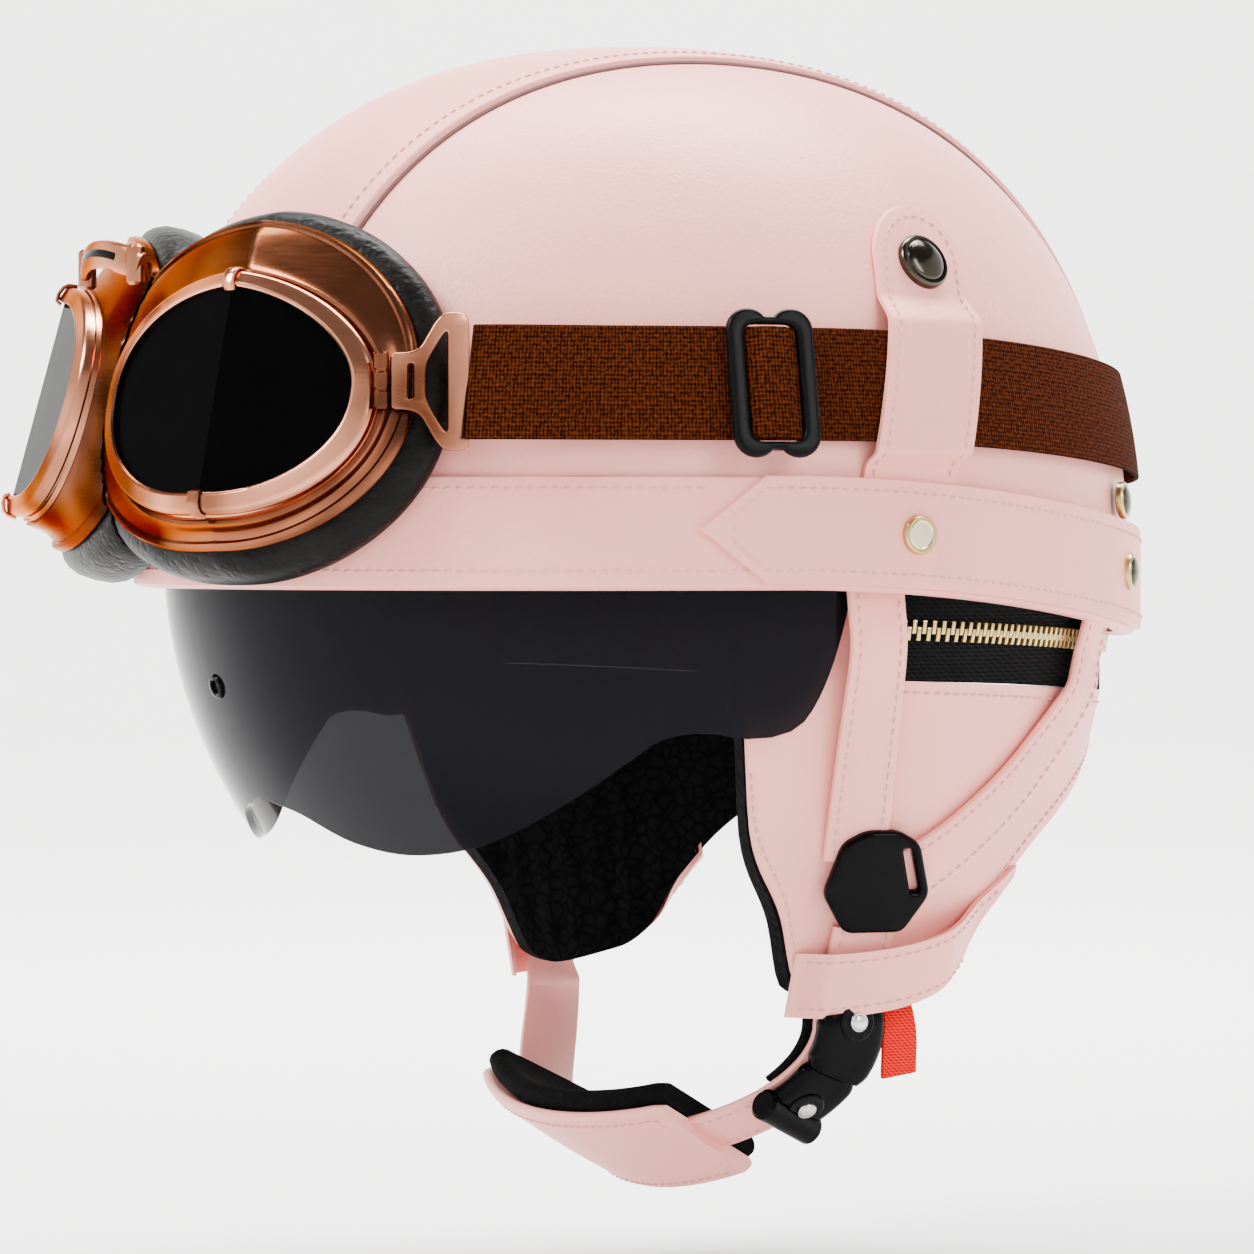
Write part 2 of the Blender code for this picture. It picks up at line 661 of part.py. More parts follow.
def eyecup_place(side):
    turn, lean = math.radians(GOGGLE_TURN), math.radians(GOGGLE_LEAN)
    forward = Vector((math.sin(turn) * math.cos(lean), -math.cos(turn) * math.cos(lean), math.sin(lean)))
    out = Vector((math.cos(turn), math.sin(turn), 0))
    up = forward.cross(out)
    place = Matrix((out, up, forward)).transposed().to_4x4()
    place.translation = Vector((GOGGLE_OUT, -GOGGLE_FORWARD, GOGGLE_LEVEL))
    return Matrix.Diagonal((side, 1, 1, 1)) @ place


def eyecup_outline(angle, grow=0.0):
    """The egg-shaped outline of an eyecup, wide at the nose and narrow at the temple."""
    turn = math.radians(angle)
    across, up = math.cos(turn), math.sin(turn)
    width = RIM_OUTER if across > 0 else RIM_INNER
    squareness = 2.25
    reach = (abs(across) ** squareness + abs(up) ** squareness) ** (-1 / squareness)
    tall = RIM_HALF_HEIGHT * (1 - 0.16 * max(0.0, across * reach) ** 1.5)
    return Vector((across * reach * (width + grow), up * reach * (tall + grow), 0))


def folded(point, depth):
    """A point of the face, set back from the crease as the two panes fall away."""
    fall = math.tan(math.radians(FOLD_OUT if point.x > 0 else FOLD_IN))
    return Vector((point.x, point.y, depth - abs(point.x) * fall))


def depth_to_shell(point, forward, offset):
    """How far behind a point the shell lies, along -forward."""
    low, high = 0.0, RIM_INNER + RIM_OUTER
    for _ in range(40):
        middle = (low + high) / 2
        probe = point - forward * middle
        plan = math.hypot(probe.x / (SHELL_HALF_WIDTH + offset), probe.y / (SHELL_HALF_LENGTH + offset))
        rise = max(0.0, probe.z) / (SHELL_HEIGHT + offset)
        if plan**SHELL_FULLNESS + rise**SHELL_FULLNESS < 1:
            high = middle
        else:
            low = middle
    return low


def kept_aside(point, side):
    """The point moved clear of the other eyecup, and still in front of the helmet."""
    if side * point.x >= NOSE_GAP:
        return point
    forward = Vector((0, -1, 0))
    start = Vector((side * NOSE_GAP, point.y, point.z)) + forward * RIM_OUTER
    surface = start - forward * depth_to_shell(start, forward, PAD_REST)
    return Vector((start.x, min(point.y, surface.y), point.z))


def build_eyecup(side):
    word = SIDE_NAMES[side]
    place = eyecup_place(side)
    forward = (place.to_3x3() @ Vector((0, 0, 1))).normalized()
    angles = steps(0, 360, 24)[:-1]

    def ring_piece(name, rows, colour):
        """A ring from rows of outward growth, share of the room to the shell, and depth added."""
        sections = []
        for angle in angles:
            section = []
            for grow, share, added in rows:
                point = place @ folded(eyecup_outline(angle, grow), 0)
                room = depth_to_shell(point, forward, PAD_REST)
                point -= forward * (room * share + added)
                section.append(kept_aside(point, side))
            sections.append(section)
        loft(name, sections, colour, closed=True)

    ring_piece(f"lens_rim_{word}", (
        (-RIM_WIDTH, RIM_BACK, 0), (-RIM_WIDTH, 0, 1 * MM), (-RIM_WIDTH / 2, 0, 0),
        (-1 * MM, 0, 0.5 * MM), (0, 0, 2.5 * MM), (0, RIM_BACK, 0),
    ), "copper")
    inset = -RIM_WIDTH - TOUCH
    lens = [[place @ folded(eyecup_outline(a, inset) * share, depth) for a in [*angles, angles[0]]]
            for depth in (-LENS_DEPTH, -LENS_DEPTH - LENS_THICK) for share in (1, 0.55, 0.001)]
    lens_solid(f"goggle_lens_{word}", lens[:3], lens[3:])
    ring_piece(f"eyecup_{word}", (
        (-CUP_WALL, RIM_BACK, TOUCH), (CUP_WALL, RIM_BACK, TOUCH), (CUP_FLARE, CUP_BACK, -CUP_WALL),
        (CUP_FLARE, CUP_BACK, 0), (CUP_FLARE - 2 * CUP_WALL, CUP_BACK, 0),
    ), "copper")
    ring_piece(f"goggle_pad_{word}", (
        (CUP_FLARE - PAD_WIDTH, CUP_BACK, TOUCH), (CUP_FLARE + 1 * MM, CUP_BACK, TOUCH),
        (CUP_FLARE + PAD_SPREAD - 1 * MM, CUP_BACK + 0.06, TOUCH), (CUP_FLARE + PAD_SPREAD, 0.85, 0),
        (CUP_FLARE + PAD_SPREAD - 1 * MM, 1, 0), (CUP_FLARE - PAD_WIDTH, 1, 0),
    ), "black_leather")


def lens_solid(name, front, back):
    """A creased pane: two fans of points closed round the edge."""
    shape = bmesh.new()
    edges = []
    for grid in (front, back):
        rings = [[shape.verts.new(p) for p in row[:-1]] for row in grid[:-1]]
        middle = shape.verts.new(grid[-1][0])
        count = len(rings[0])
        for k in range(count):
            beside = (k + 1) % count
            shape.faces.new((rings[0][k], rings[0][beside], rings[1][beside], rings[1][k]))
            shape.faces.new((rings[1][k], rings[1][beside], middle))
        edges.append(rings[0])
    for k in range(len(edges[0])):
        beside = (k + 1) % len(edges[0])
        shape.faces.new((edges[0][k], edges[0][beside], edges[1][beside], edges[1][k]))
    return add_object(name, shape, "dark_lens")


def build_hook(side):
    """The flat hook from the eyecup's temple side to the strap."""
    start = shell_point(STRAP_TURN, STRAP_LEVEL, HOOK_STAND + STRAP_THICK + TOUCH / 2)
    rim = eyecup_place(LEFT) @ folded(eyecup_outline(0, HINGE_RADIUS + TOUCH), 0)
    along = Vector((rim.x - start.x, rim.y - start.y, 0))
    length = along.length - HINGE_RADIUS - TOUCH - LOOSE
    along.normalize()
    start += along * LOOSE
    up = Vector((0, 0, 1))
    place = Matrix((along, up, along.cross(up))).transposed().to_4x4()
    place.translation = start
    half, neck = HOOK_MOUTH / 2, HOOK_NECK / 2
    bar, slit, corner = HOOK_BAR, HOOK_SLIT, HOOK_CORNER
    outline = [
        (0, corner - half), (corner, -half), (bar + slit, -half), (length * 0.55, -neck - corner),
        (length * 0.75, -neck), (length, -neck), (length, neck), (length * 0.75, neck),
        (length * 0.55, neck + corner), (bar + slit, half), (corner, half), (0, half - corner),
    ]
    window = [(bar + slit, -half * 0.6), (length * 0.55, -neck * 0.7), (length * 0.55, neck * 0.7),
              (bar + slit, half * 0.6)]
    slot = [(length * 0.72, -neck * 0.65), (length * 0.72 + slit, -neck * 0.65),
            (length * 0.72 + slit, neck * 0.65), (length * 0.72, neck * 0.65)]
    mirror = Matrix.Diagonal((side, 1, 1, 1))
    plate(f"goggle_hook_{SIDE_NAMES[side]}", outline, [window, slot], HOOK_THICK, mirror @ place, "copper")


def build_bridge():
    """The linkage over the nose, from one lens rim to the other, and the hinges at the temples."""
    line = [Vector((BRIDGE_REACH * share, -BRIDGE_FORWARD + BRIDGE_BOW * share**2, BRIDGE_LEVEL - BRIDGE_BOW * share**2))
            for share in steps(-1, 1, 8)]
    ribbon("goggle_bridge", line, [Vector((0, -1, 0.2))] * len(line), BRIDGE_HEIGHT, BRIDGE_THICK, "copper")
    rim = eyecup_place(LEFT) @ folded(eyecup_outline(0, HINGE_RADIUS + TOUCH), 0)
    for side in (LEFT, RIGHT):
        profile = ((HINGE_RADIUS * 0.7, -HOOK_NECK / 2), (HINGE_RADIUS, MM - HOOK_NECK / 2),
                   (HINGE_RADIUS, HOOK_NECK / 2 - MM), (HINGE_RADIUS * 0.7, HOOK_NECK / 2))
        turned(f"hook_hinge_{SIDE_NAMES[side]}", profile, Matrix.Translation(mirrored([rim], side)[0]), "copper", 10)


# Sun visor

def visor_ring(share, shrink):
    """Sideways distance and radius about the pivot, at a share of the visor's half width."""
    width, reach = VISOR_HALF_WIDTH - shrink, VISOR_REACH - shrink
    return share * width, reach * max(0.0, 1 - abs(share) ** VISOR_FULLNESS) ** (1 / VISOR_FULLNESS)


def visor_point(share, degrees, shrink):
    across, radius = visor_ring(share, shrink)
    angle = math.radians(degrees)
    return Vector((across, PIVOT_BACK - radius * math.cos(angle), PIVOT_UP + radius * math.sin(angle)))


def build_visor():
    half = [math.sin(math.radians(a)) for a in steps(0, 72, 8)] + [0.967, 0.98, 0.99, 0.9965, 0.999]
    shares = [-s for s in reversed(half[1:])] + half
    grids = [[[visor_point(s, mix(VISOR_TOP, -read_table(VISOR_EDGE, abs(s)), down), shrink) for s in shares]
              for down in steps(0, 1, 5)] for shrink in (0, VISOR_WALL)]
    made = sheet_solid("sun_visor", grids[0], grids[1], "smoke_visor")
    knob = visor_point(0, -math.degrees(math.asin((PIVOT_UP - KNOB_LEVEL) / VISOR_REACH)), -TOUCH)
    turned("visor_knob", ((KNOB_RADIUS, 0), (KNOB_RADIUS, KNOB_HEIGHT * 0.6), (KNOB_RADIUS * 0.6, KNOB_HEIGHT)),
           placed(knob, Vector((0, -1, -0.27)).normalized()), "black_plastic", 10)
    for side in (LEFT, RIGHT):
        axis = Vector((side, 0, 0))
        place = placed(Vector((side * (VISOR_HALF_WIDTH - VISOR_WALL), PIVOT_BACK, PIVOT_UP)), axis)
        ear = turned(f"visor_ear_{side}", ((VISOR_EAR, 0), (VISOR_EAR, VISOR_WALL)), place, "smoke_visor", 20)
        hole = turned(f"visor_hole_{side}", ((PIVOT_RADIUS + LOOSE, -4 * MM), (PIVOT_RADIUS + LOOSE, 6 * MM)),
                      place, "smoke_visor", 16)
        for tool, action in ((ear, "UNION"), (hole, "DIFFERENCE")):
            tool.hide_render = True
            tool.display_type = "WIRE"
            cut = made.modifiers.new(f"{tool.name}", "BOOLEAN")
            cut.operation = action
            cut.object = tool
    for side in (LEFT, RIGHT):
        inner_wall = SHELL_HALF_WIDTH - SHELL_WALL - TOUCH - 2 * FACET
        head_base = VISOR_HALF_WIDTH - VISOR_WALL - LOOSE
        place = placed(Vector((0, PIVOT_BACK, PIVOT_UP)), Vector((side, 0, 0)))
        turned(f"visor_pivot_{SIDE_NAMES[side]}", (
            (PIVOT_HEAD, head_base - PIVOT_HEAD_THICK), (PIVOT_HEAD, head_base), (PIVOT_RADIUS, head_base),
            (PIVOT_RADIUS, inner_wall),
        ), place, "dark_metal", 16)


# Zip, neck curtain and ear flaps

def zip_level(turn):
    return -ZIP_BELOW_RIM + 0.45 * rim_level(turn)


def tape_bottom(turn):
    return zip_level(turn) - TAPE_BELOW


def curtain_point(turn, level, offset=0.0):
    """A point on the outer face of the neck curtain."""
    off = abs((turn + 180) % 360 - 180)
    below = max(0.0, tape_bottom(turn) - level)
    inset = FLAP_INSET * (1 - smooth(87, 106, off)) + TAPE_INSET * smooth(INSET_TOP, INSET_BOTTOM, level)
    start = SHELL_WALL + TOUCH + CURTAIN_ROOM + inset
    half_width = SHELL_HALF_WIDTH - start - CURTAIN_TAPER_SIDE * below + offset
    half_length = SHELL_HALF_LENGTH - start - CURTAIN_TAPER_BACK * below + offset
    angle = math.radians(turn)
    return Vector((half_width * math.sin(angle), -half_length * math.cos(angle), level))


def build_zip():
    lead = 1.2
    inner = steps(ZIP_START + lead, 360 - ZIP_START - lead, 28)
    turns = [ZIP_START, *inner, 360 - ZIP_START]
    half = TEETH_HEIGHT / 2

    def rows(turn):
        top = min(rim_level(turn) + LINER_RAISE - LOOSE - TOUCH, zip_level(turn) + TAPE_ABOVE)
        return tape_bottom(turn), zip_level(turn) - half, zip_level(turn) + half, top

    grids = [[[curtain_point(t, rows(t)[row], offset) for t in turns] for row in range(4)]
             for offset in (0, -TAPE_THICK)]
    sheet_solid("zip_tape", grids[0], grids[1], "black_lining")
    grids = [[[curtain_point(t, rows(t)[row], offset) for t in inner] for row in (1, 2)]
             for offset in (FACET + TEETH_THICK, FACET)]
    sheet_solid("zip_teeth", grids[0], grids[1], "brass")


def curtain_top(turn):
    """The leather starts under the tape, and runs up to the rim in front of it."""
    off = abs((turn + 180) % 360 - 180)
    return mix(-CURTAIN_LAP, tape_bottom(turn) - TOUCH, smooth(ZIP_START - 6, ZIP_START - 1, off))


def build_curtain():
    first = CURTAIN_EDGE[0][0]
    turns = [*steps(first, 130, 12), *steps(130, 230, 8)[1:-1], *steps(230, 360 - first, 12)]
    rows = (0, 0.1, 0.25, 0.6, 1)

    def bottom(turn):
        return -FLAP_DEPTH * read_table(CURTAIN_EDGE, abs((turn + 180) % 360 - 180))

    grids = [[[curtain_point(t, mix(curtain_top(t), bottom(t), share), offset) for t in turns]
              for share in rows] for offset in (0, -CURTAIN_THICK)]
    sheet_solid("neck_curtain", grids[0], grids[1], "pink_leather")

    proud = math.degrees(LINING_PROUD / SHELL_HALF_WIDTH)
    outer = -CURTAIN_THICK - TOUCH - FACET
    turns = [first - proud, *turns[1:-1], 360 - first + proud]
    grids = [[[curtain_point(t, mix(curtain_top(t) - LINING_LAP, bottom(t) - LINING_LAP / 2, share), offset) for t in turns]
              for share in rows] for offset in (outer, outer - LINING_THICK)]
    sheet_solid("curtain_lining", grids[0], grids[1], "black_lining")


# Chin straps, divider, belt loop and buckle

def flap_face(turn, level, offset, side):
    """A point and outward normal over the flap."""
    point = curtain_point(turn, level, offset)
    normal = surface_normal(curtain_point, turn, level, offset)
    return mirrored((point, normal), side)


def flap_strap(name, rows, side):
    """A strap over the flap from (turn, level, clear space under it) rows."""
    line, normals = [], []
    for turn, level, clear in rows:
        point, normal = flap_face(turn, level, clear + WEB_THICK / 2, side)
        line.append(point)
        normals.append(normal)
    ribbon(name, line, normals, WEB_WIDTH, WEB_THICK, "pink_leather")


def build_yoke(side):
    word = SIDE_NAMES[side]
    over_zip = TEETH_THICK + 2 * (FACET + TOUCH)
    end = DIVIDER_LEVEL + DIVIDER_HEIGHT / 2 + LOOSE
    foot, slope = flap_face(DIVIDER_TURN - 3, end, TOUCH + FACET + WEB_THICK / 2, LEFT)
    knee = zip_level(ZIP_START) - TEETH_HEIGHT / 2 - 2 * MM
    top = Vector((VISOR_HALF_WIDTH + 2 * LOOSE + WEB_THICK / 2, FRONT_STRAP_BACK, 2 * MM))
    line, normals = [], []
    for share in steps(0, 1, 8):
        level = mix(top.z, end, share)
        below = max(0.0, (knee - level) / (knee - end))
        line.append(Vector((mix(top.x, foot.x, below), mix(top.y, foot.y, share), level)))
        normals.append(Vector((1, 0, 0)).lerp(slope, below))
    ribbon(f"front_strap_{word}", mirrored(line, side), mirrored(normals, side), WEB_WIDTH, WEB_THICK, "pink_leather")

    start = rim_level(REAR_STRAP_TURN) - 2.2 * MM
    rows = []
    for share in steps(0, 1, 9):
        turn = mix(REAR_STRAP_TURN, DIVIDER_TURN + 8.2, share**1.9)
        clear = mix(over_zip, TOUCH + FACET, smooth(0.25, 0.6, share))
        rows.append((turn, mix(start, DIVIDER_LEVEL + DIVIDER_HEIGHT * 0.2, share), clear))
    flap_strap(f"rear_strap_{word}", rows, side)

    point, normal = flap_face(DIVIDER_TURN, DIVIDER_LEVEL, DIVIDER_THICK / 2 + 3 * FACET, side)
    up = (Vector((0, 0, 1)) - normal * normal.z).normalized()
    along = up.cross(normal)
    place = Matrix((along, up, normal)).transposed().to_4x4()
    place.translation = point
    wide, tall = DIVIDER_WIDTH / 2, DIVIDER_HEIGHT / 2
    outline = [(-0.55 * wide, -tall), (0.55 * wide, -tall), (wide, -0.25 * tall), (0.72 * wide, 0.7 * tall),
               (0.3 * wide, tall), (-0.3 * wide, tall), (-0.72 * wide, 0.7 * tall), (-wide, -0.25 * tall)]
    plate(f"strap_divider_{word}", outline, [], DIVIDER_THICK, place, "black_plastic")


def build_belt(side):
    """The leather belt loop that holds the chin strap down on the flap."""
    word = SIDE_NAMES[side]
    line, normals = [], []
    for share in steps(0, 1, 10):
        turn = mix(BELT_FRONT_TURN, BELT_BACK_TURN, share)
        level = mix(BELT_FRONT_LEVEL, BELT_BACK_LEVEL, share**2.2)
        over = smooth(0, 0.08, share) * (1 - smooth(0.45, 0.75, share))
        stand = TOUCH + LEATHER / 2 + BELT_RISE * over
        point, normal = flap_face(turn, level, stand, side)
        line.append(point)
        normals.append(normal)
    ribbon(f"belt_loop_{word}", line, normals, BELT_HEIGHT, LEATHER, "pink_leather")


def loop_point(degrees):
    """The middle of the chin strap, from the left side (0) under the chin to the right (180)."""
    angle = math.radians(degrees)
    return Vector((
        LOOP_HALF_WIDTH * math.cos(angle),
        LOOP_SIDE_BACK - (LOOP_SIDE_BACK + LOOP_CHIN_FORWARD) * math.sin(angle) ** 2,
        LOOP_TOP + (LOOP_BOTTOM - LOOP_TOP) * math.sin(angle),
    ))


def loop_frame(degrees):
    """Point, along, outward and across at a place on the loop."""
    point = loop_point(degrees)
    along = (loop_point(degrees + 1) - loop_point(degrees - 1)).normalized()
    across = Vector((0, 1, 0))
    across = (across - along * across.dot(along)).normalized()
    tilt = math.radians(LOOP_TILT) * math.sin(math.radians(min(180, max(0, degrees)))) ** 2
    out = across.cross(along)
    if out.dot(Vector((point.x, 0, -0.5))) < 0:
        out = -out
    leaned = across * math.cos(tilt) + out * math.sin(tilt)
    out = out * math.cos(tilt) - across * math.sin(tilt)
    return point, along, out, leaned


def loop_section(degrees, width, thick, lift=0.0, corner=0.25):
    """A strap's cross-section on the loop, with eased edges."""
    point, _, out, across = loop_frame(degrees)
    half, rise = width / 2, thick / 2
    corners = ((-half, -rise * 0.4), (-half + rise * corner * 4, -rise), (half - rise * corner * 4, -rise),
               (half, -rise * 0.4), (half, rise * 0.4), (half - rise * corner * 4, rise),
               (-half + rise * corner * 4, rise), (-half, rise * 0.4))
    return [point + across * x + out * (y + lift) for x, y in corners]


def chin_strap(name, side, start, end):
    """From the divider down behind the belt loop, then round the loop to the chin cup."""
    line, normals = [], []
    top = DIVIDER_LEVEL - DIVIDER_HEIGHT / 2 - LOOSE
    for share in steps(0, 1, 3):
        level = mix(top, LOOP_TOP + 6 * MM, share)
        point, normal = flap_face(DIVIDER_TURN, level, TOUCH + FACET + WEB_THICK / 2, side)
        line.append(point)
        normals.append(normal)
    for degrees in steps(start, end, 10):
        point, _, out, _ = loop_frame(degrees)
        line.append(point)
        normals.append(out)
    ribbon(name, line, normals, WEB_WIDTH, WEB_THICK, "pink_leather")


def build_chin():
    chin_strap("chin_strap_left", LEFT, 0, CUP_START - CUP_END_GAP)
    chin_strap("chin_strap_right", RIGHT, 180, CUP_END + CUP_END_GAP)
    degrees = steps(CUP_START, CUP_END, 12)
    sleeve = [loop_section(d, CUP_WIDTH, CUP_THICK, lift=CUP_THICK / 2) for d in degrees]
    loft("chin_cup", sleeve, "pink_leather")
    pad = [loop_section(d, CUP_WIDTH - 4 * MM, CHIN_PAD_THICK, lift=-TOUCH - FACET - CHIN_PAD_THICK / 2)
           for d in degrees]
    loft("chin_pad", pad, "black_lining")


def build_buckle():
    """The fastened ratchet buckle on the wearer's left."""
    shell_lift = WEB_THICK / 2 + LOOSE

    def case(name, first, last, width, thick, colour, lift):
        sections = [loop_section(d, width, thick, lift=lift + thick / 2) for d in steps(first, last, 4)]
        loft(name, sections, colour)

    middle = mix(BUCKLE_START, BUCKLE_END, 0.52)
    case("buckle_housing", BUCKLE_START, middle, BUCKLE_WIDTH, BUCKLE_THICK, "black_plastic", shell_lift)
    case("buckle_slide", middle + 0.8, BUCKLE_END, SLIDE_WIDTH, SLIDE_THICK, "black_plastic", shell_lift)
    for number, degrees in ((1, BUCKLE_START + 3), (2, BUCKLE_END - 7)):
        point, _, out, _ = loop_frame(degrees)
        rise = shell_lift + (BUCKLE_THICK if number == 1 else SLIDE_THICK) + TOUCH
        turned(f"buckle_rivet_{number}", cap_profile(BUCKLE_RIVET_RADIUS, BUCKLE_RIVET_HEIGHT), placed(point + out * rise, out), "dark_metal")
    point, along, out, across = loop_frame(BUCKLE_START)
    foot = point + across * (BUCKLE_WIDTH / 2 + LOOSE) + out * (shell_lift + BUCKLE_THICK / 2)
    line = [foot + across * RELEASE_FORWARD + Vector((0, 0, -1)) * RELEASE_LENGTH * share for share in steps(-0.08, 0.92, 3)]
    ribbon("release_ribbon", line, [out] * len(line), RELEASE_WIDTH, RELEASE_THICK, "red_ribbon")


def main():
    clear_scene()
    build_shell()
    build_liner()
    build_crown_panel()
    build_bands()
    build_elastic()
    build_bridge()
    build_visor()
    build_zip()
    build_curtain()
    for side in (LEFT, RIGHT):
        build_tab(side)
        build_snaps(side)
        build_eyecup(side)
        build_hook(side)
        build_yoke(side)
        build_belt(side)
    build_chin()
    build_buckle()


main()
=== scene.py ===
import math

import bmesh
import bpy
from mathutils import Matrix, Vector


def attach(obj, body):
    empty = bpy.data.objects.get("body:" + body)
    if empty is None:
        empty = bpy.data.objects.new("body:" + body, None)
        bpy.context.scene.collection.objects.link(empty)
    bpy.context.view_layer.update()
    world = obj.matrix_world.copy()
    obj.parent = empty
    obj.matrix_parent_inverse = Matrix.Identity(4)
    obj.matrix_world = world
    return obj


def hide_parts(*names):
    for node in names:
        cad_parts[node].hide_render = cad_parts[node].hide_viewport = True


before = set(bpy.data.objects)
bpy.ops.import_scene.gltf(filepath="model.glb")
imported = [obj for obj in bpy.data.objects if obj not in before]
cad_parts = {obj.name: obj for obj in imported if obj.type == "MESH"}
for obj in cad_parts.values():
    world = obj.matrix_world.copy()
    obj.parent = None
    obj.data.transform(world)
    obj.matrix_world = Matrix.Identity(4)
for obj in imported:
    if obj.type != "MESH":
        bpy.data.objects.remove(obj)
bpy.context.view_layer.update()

MM = 0.001
LEFT, RIGHT = 1, -1
SIDE_NAMES = {LEFT: "left", RIGHT: "right"}

# Shell
SHELL_HALF_WIDTH = 118 * MM
SHELL_HALF_LENGTH = 138.5 * MM
SHELL_HEIGHT = 141.5 * MM
SHELL_FULLNESS = 2.35
SHELL_WALL = 4 * MM
ROW_CROWDING = 1.15  # the bowls' rows lie closer together at the rim
REAR_DROP = 14 * MM
DROP_STARTS, DROP_ENDS = 80, 160
HEAD_HALF_WIDTH, HEAD_HALF_LENGTH, HEAD_HEIGHT = 79 * MM, 101 * MM, 111 * MM
LINER_RAISE = 6 * MM
VISOR_POCKET = 12 * MM  # deep, easing out at its top and its back
POCKET_TOP, POCKET_BACK = (92 * MM, 120 * MM), (92, 114)
SEAM_EVERY, SEAM_HALF_ANGLE, SEAM_RING, SEAM_RING_HALF, SEAM_DEPTH = 60, 3, 0.42, 0.03, 1.6 * MM

# Leather on the shell
TOUCH = 0.3 * MM
FACET = 0.5 * MM
LEATHER, LEATHER_EASE = 1.2 * MM, 0.5 * MM
SUNK = 0.3 * MM  # how far an inner face goes into what carries it
PANEL_HALF_WIDTH, PANEL_UNDER, PANEL_STITCH_INSET = 40 * MM, 2 * MM, 4.2 * MM
SEAM_ASIDE, SEAM_LIFT, SEAM_RADIUS = 0.35 * MM, 0.25 * MM, 0.55 * MM
BAND_HEIGHT = 27 * MM
ARROW_TURN, ARROW_LENGTH = 70, 7
BRIM_FACE = 2 * TOUCH + LEATHER  # outer face of the brim band above the shell
PANEL_FACE = TOUCH + FACET + LEATHER
REAR_FACE = BRIM_FACE + FACET + LEATHER

# Elastic strap and tabs
STRAP_HEIGHT, STRAP_THICK = 28.5 * MM, 1.4 * MM
STRAP_LEVEL, STRAP_REAR_FALL = 50 * MM, 10 * MM
STRAP_TURN, STRAP_DOWN = 46, 62
HOOK_STAND = 10 * MM
STRAP_OFFSET = 2 * (TOUCH + FACET) + LEATHER
SLIDER_TURN = 77.5
SLIDER_WIDTH, SLIDER_HEIGHT = 23 * MM, 38 * MM
SLIDER_WINDOW, SLIDER_THICK = (7.2 * MM, 15 * MM), 3 * MM
TAB_TURN, TAB_LEAN = 94.5, 8.5
TAB_WIDTH, TAB_TOP, TAB_THICK = 29 * MM, 97 * MM, LEATHER + 0.3 * MM
TAB_STITCH_INSET = 2.6 * MM
SNAP_LEVEL = 82 * MM
SNAP_SIZE, RIVET_SIZE = (7.5 * MM, 3.2 * MM), (5 * MM, 2.6 * MM)  # radius and height
HIGH_STUD_STAND = 2 * MM
BAND_RIVET_TURN, REAR_STUD_TURN = 94.5, 136

# Goggles
GOGGLE_OUT, GOGGLE_FORWARD, GOGGLE_LEVEL = 51 * MM, 155 * MM, 54 * MM
GOGGLE_TURN, GOGGLE_LEAN = 27, 15
RIM_INNER, RIM_OUTER, RIM_HALF_HEIGHT = 47 * MM, 38 * MM, 33 * MM
RIM_WIDTH = 5 * MM
LENS_DROP = 3.5 * MM
LENS_SHIFT = Vector((4 * MM, -4 * MM, 0))
RIM_BACK, CUP_BACK = 0.2, 0.5
FOLD_IN, FOLD_OUT = 15, 20
CUP_FLARE, CUP_WALL = 9 * MM, 1.5 * MM
PAD_SPREAD, PAD_WIDTH = 5 * MM, 11 * MM
PAD_REST = 2 * (TOUCH + LEATHER) + FACET
NOSE_GAP = 1 * MM
HOOK_NECK, HOOK_MOUTH, HOOK_THICK = 14 * MM, 34 * MM, 1.6 * MM
HOOK_BAR, HOOK_SLIT = 3.2 * MM, 1.8 * MM
HINGE_RADIUS = 2 * MM
CLIP_WIDTH, CLIP_THICK = 3.4 * MM, 1 * MM
BRIDGE_REACH, BRIDGE_FORWARD, BRIDGE_LEVEL = 17 * MM, 160 * MM, 84 * MM
BRIDGE_BOW, BRIDGE_HEIGHT, BRIDGE_THICK = 4 * MM, 7.5 * MM, 3 * MM

# Sun visor
VISOR_HALF_WIDTH, VISOR_REACH, VISOR_FULLNESS = 107.7 * MM, 134 * MM, 2.1
VISOR_WALL = 2 * MM
PIVOT_BACK, PIVOT_UP = 2 * MM, 10 * MM
PIVOT_RADIUS, PIVOT_HEAD, VISOR_EAR = 4.5 * MM, 7.5 * MM, 9 * MM
VISOR_TOP = 3
KNOB_LEVEL, KNOB_RADIUS = -27 * MM, 3.3 * MM
VISOR_EDGE = (
    (0.00, 29.5), (0.14, 31.5), (0.28, 36.5), (0.42, 40.3), (0.60, 43.0), (0.75, 43.7),
    (0.86, 44.3), (0.90, 50.0), (0.925, 65.0), (0.945, 74.0), (0.975, 78.0), (1.00, 80.0),
)

# Zip and neck curtain
ZIP_START = 95.5
TAPE_ABOVE, TAPE_BELOW, TAPE_THICK = 16 * MM, 13 * MM, 1.2 * MM
ZIP_BELOW_RIM = 11 * MM
TEETH_HEIGHT, TEETH_THICK = 5 * MM, 1.4 * MM
TAPE_INSET = 3 * MM
CURTAIN_THICK, CURTAIN_ROOM = 1.6 * MM, 0.4 * MM
CURTAIN_TAPER_SIDE, CURTAIN_TAPER_BACK = 0.33, 0.12
FLAP_INSET, FLAP_DEPTH = 9.5 * MM, 108 * MM
LINING_THICK, LINING_PROUD = 6 * MM, 3 * MM
CURTAIN_EDGE = (
    (78, 0.30), (82, 0.62), (88, 0.80), (92, 0.97), (97, 1.00), (108, 0.97),
    (113, 0.92), (118, 0.80), (129, 0.62), (142, 0.50), (157, 0.43), (180, 0.40),
)
FLAP_FRONT = CURTAIN_EDGE[0][0]
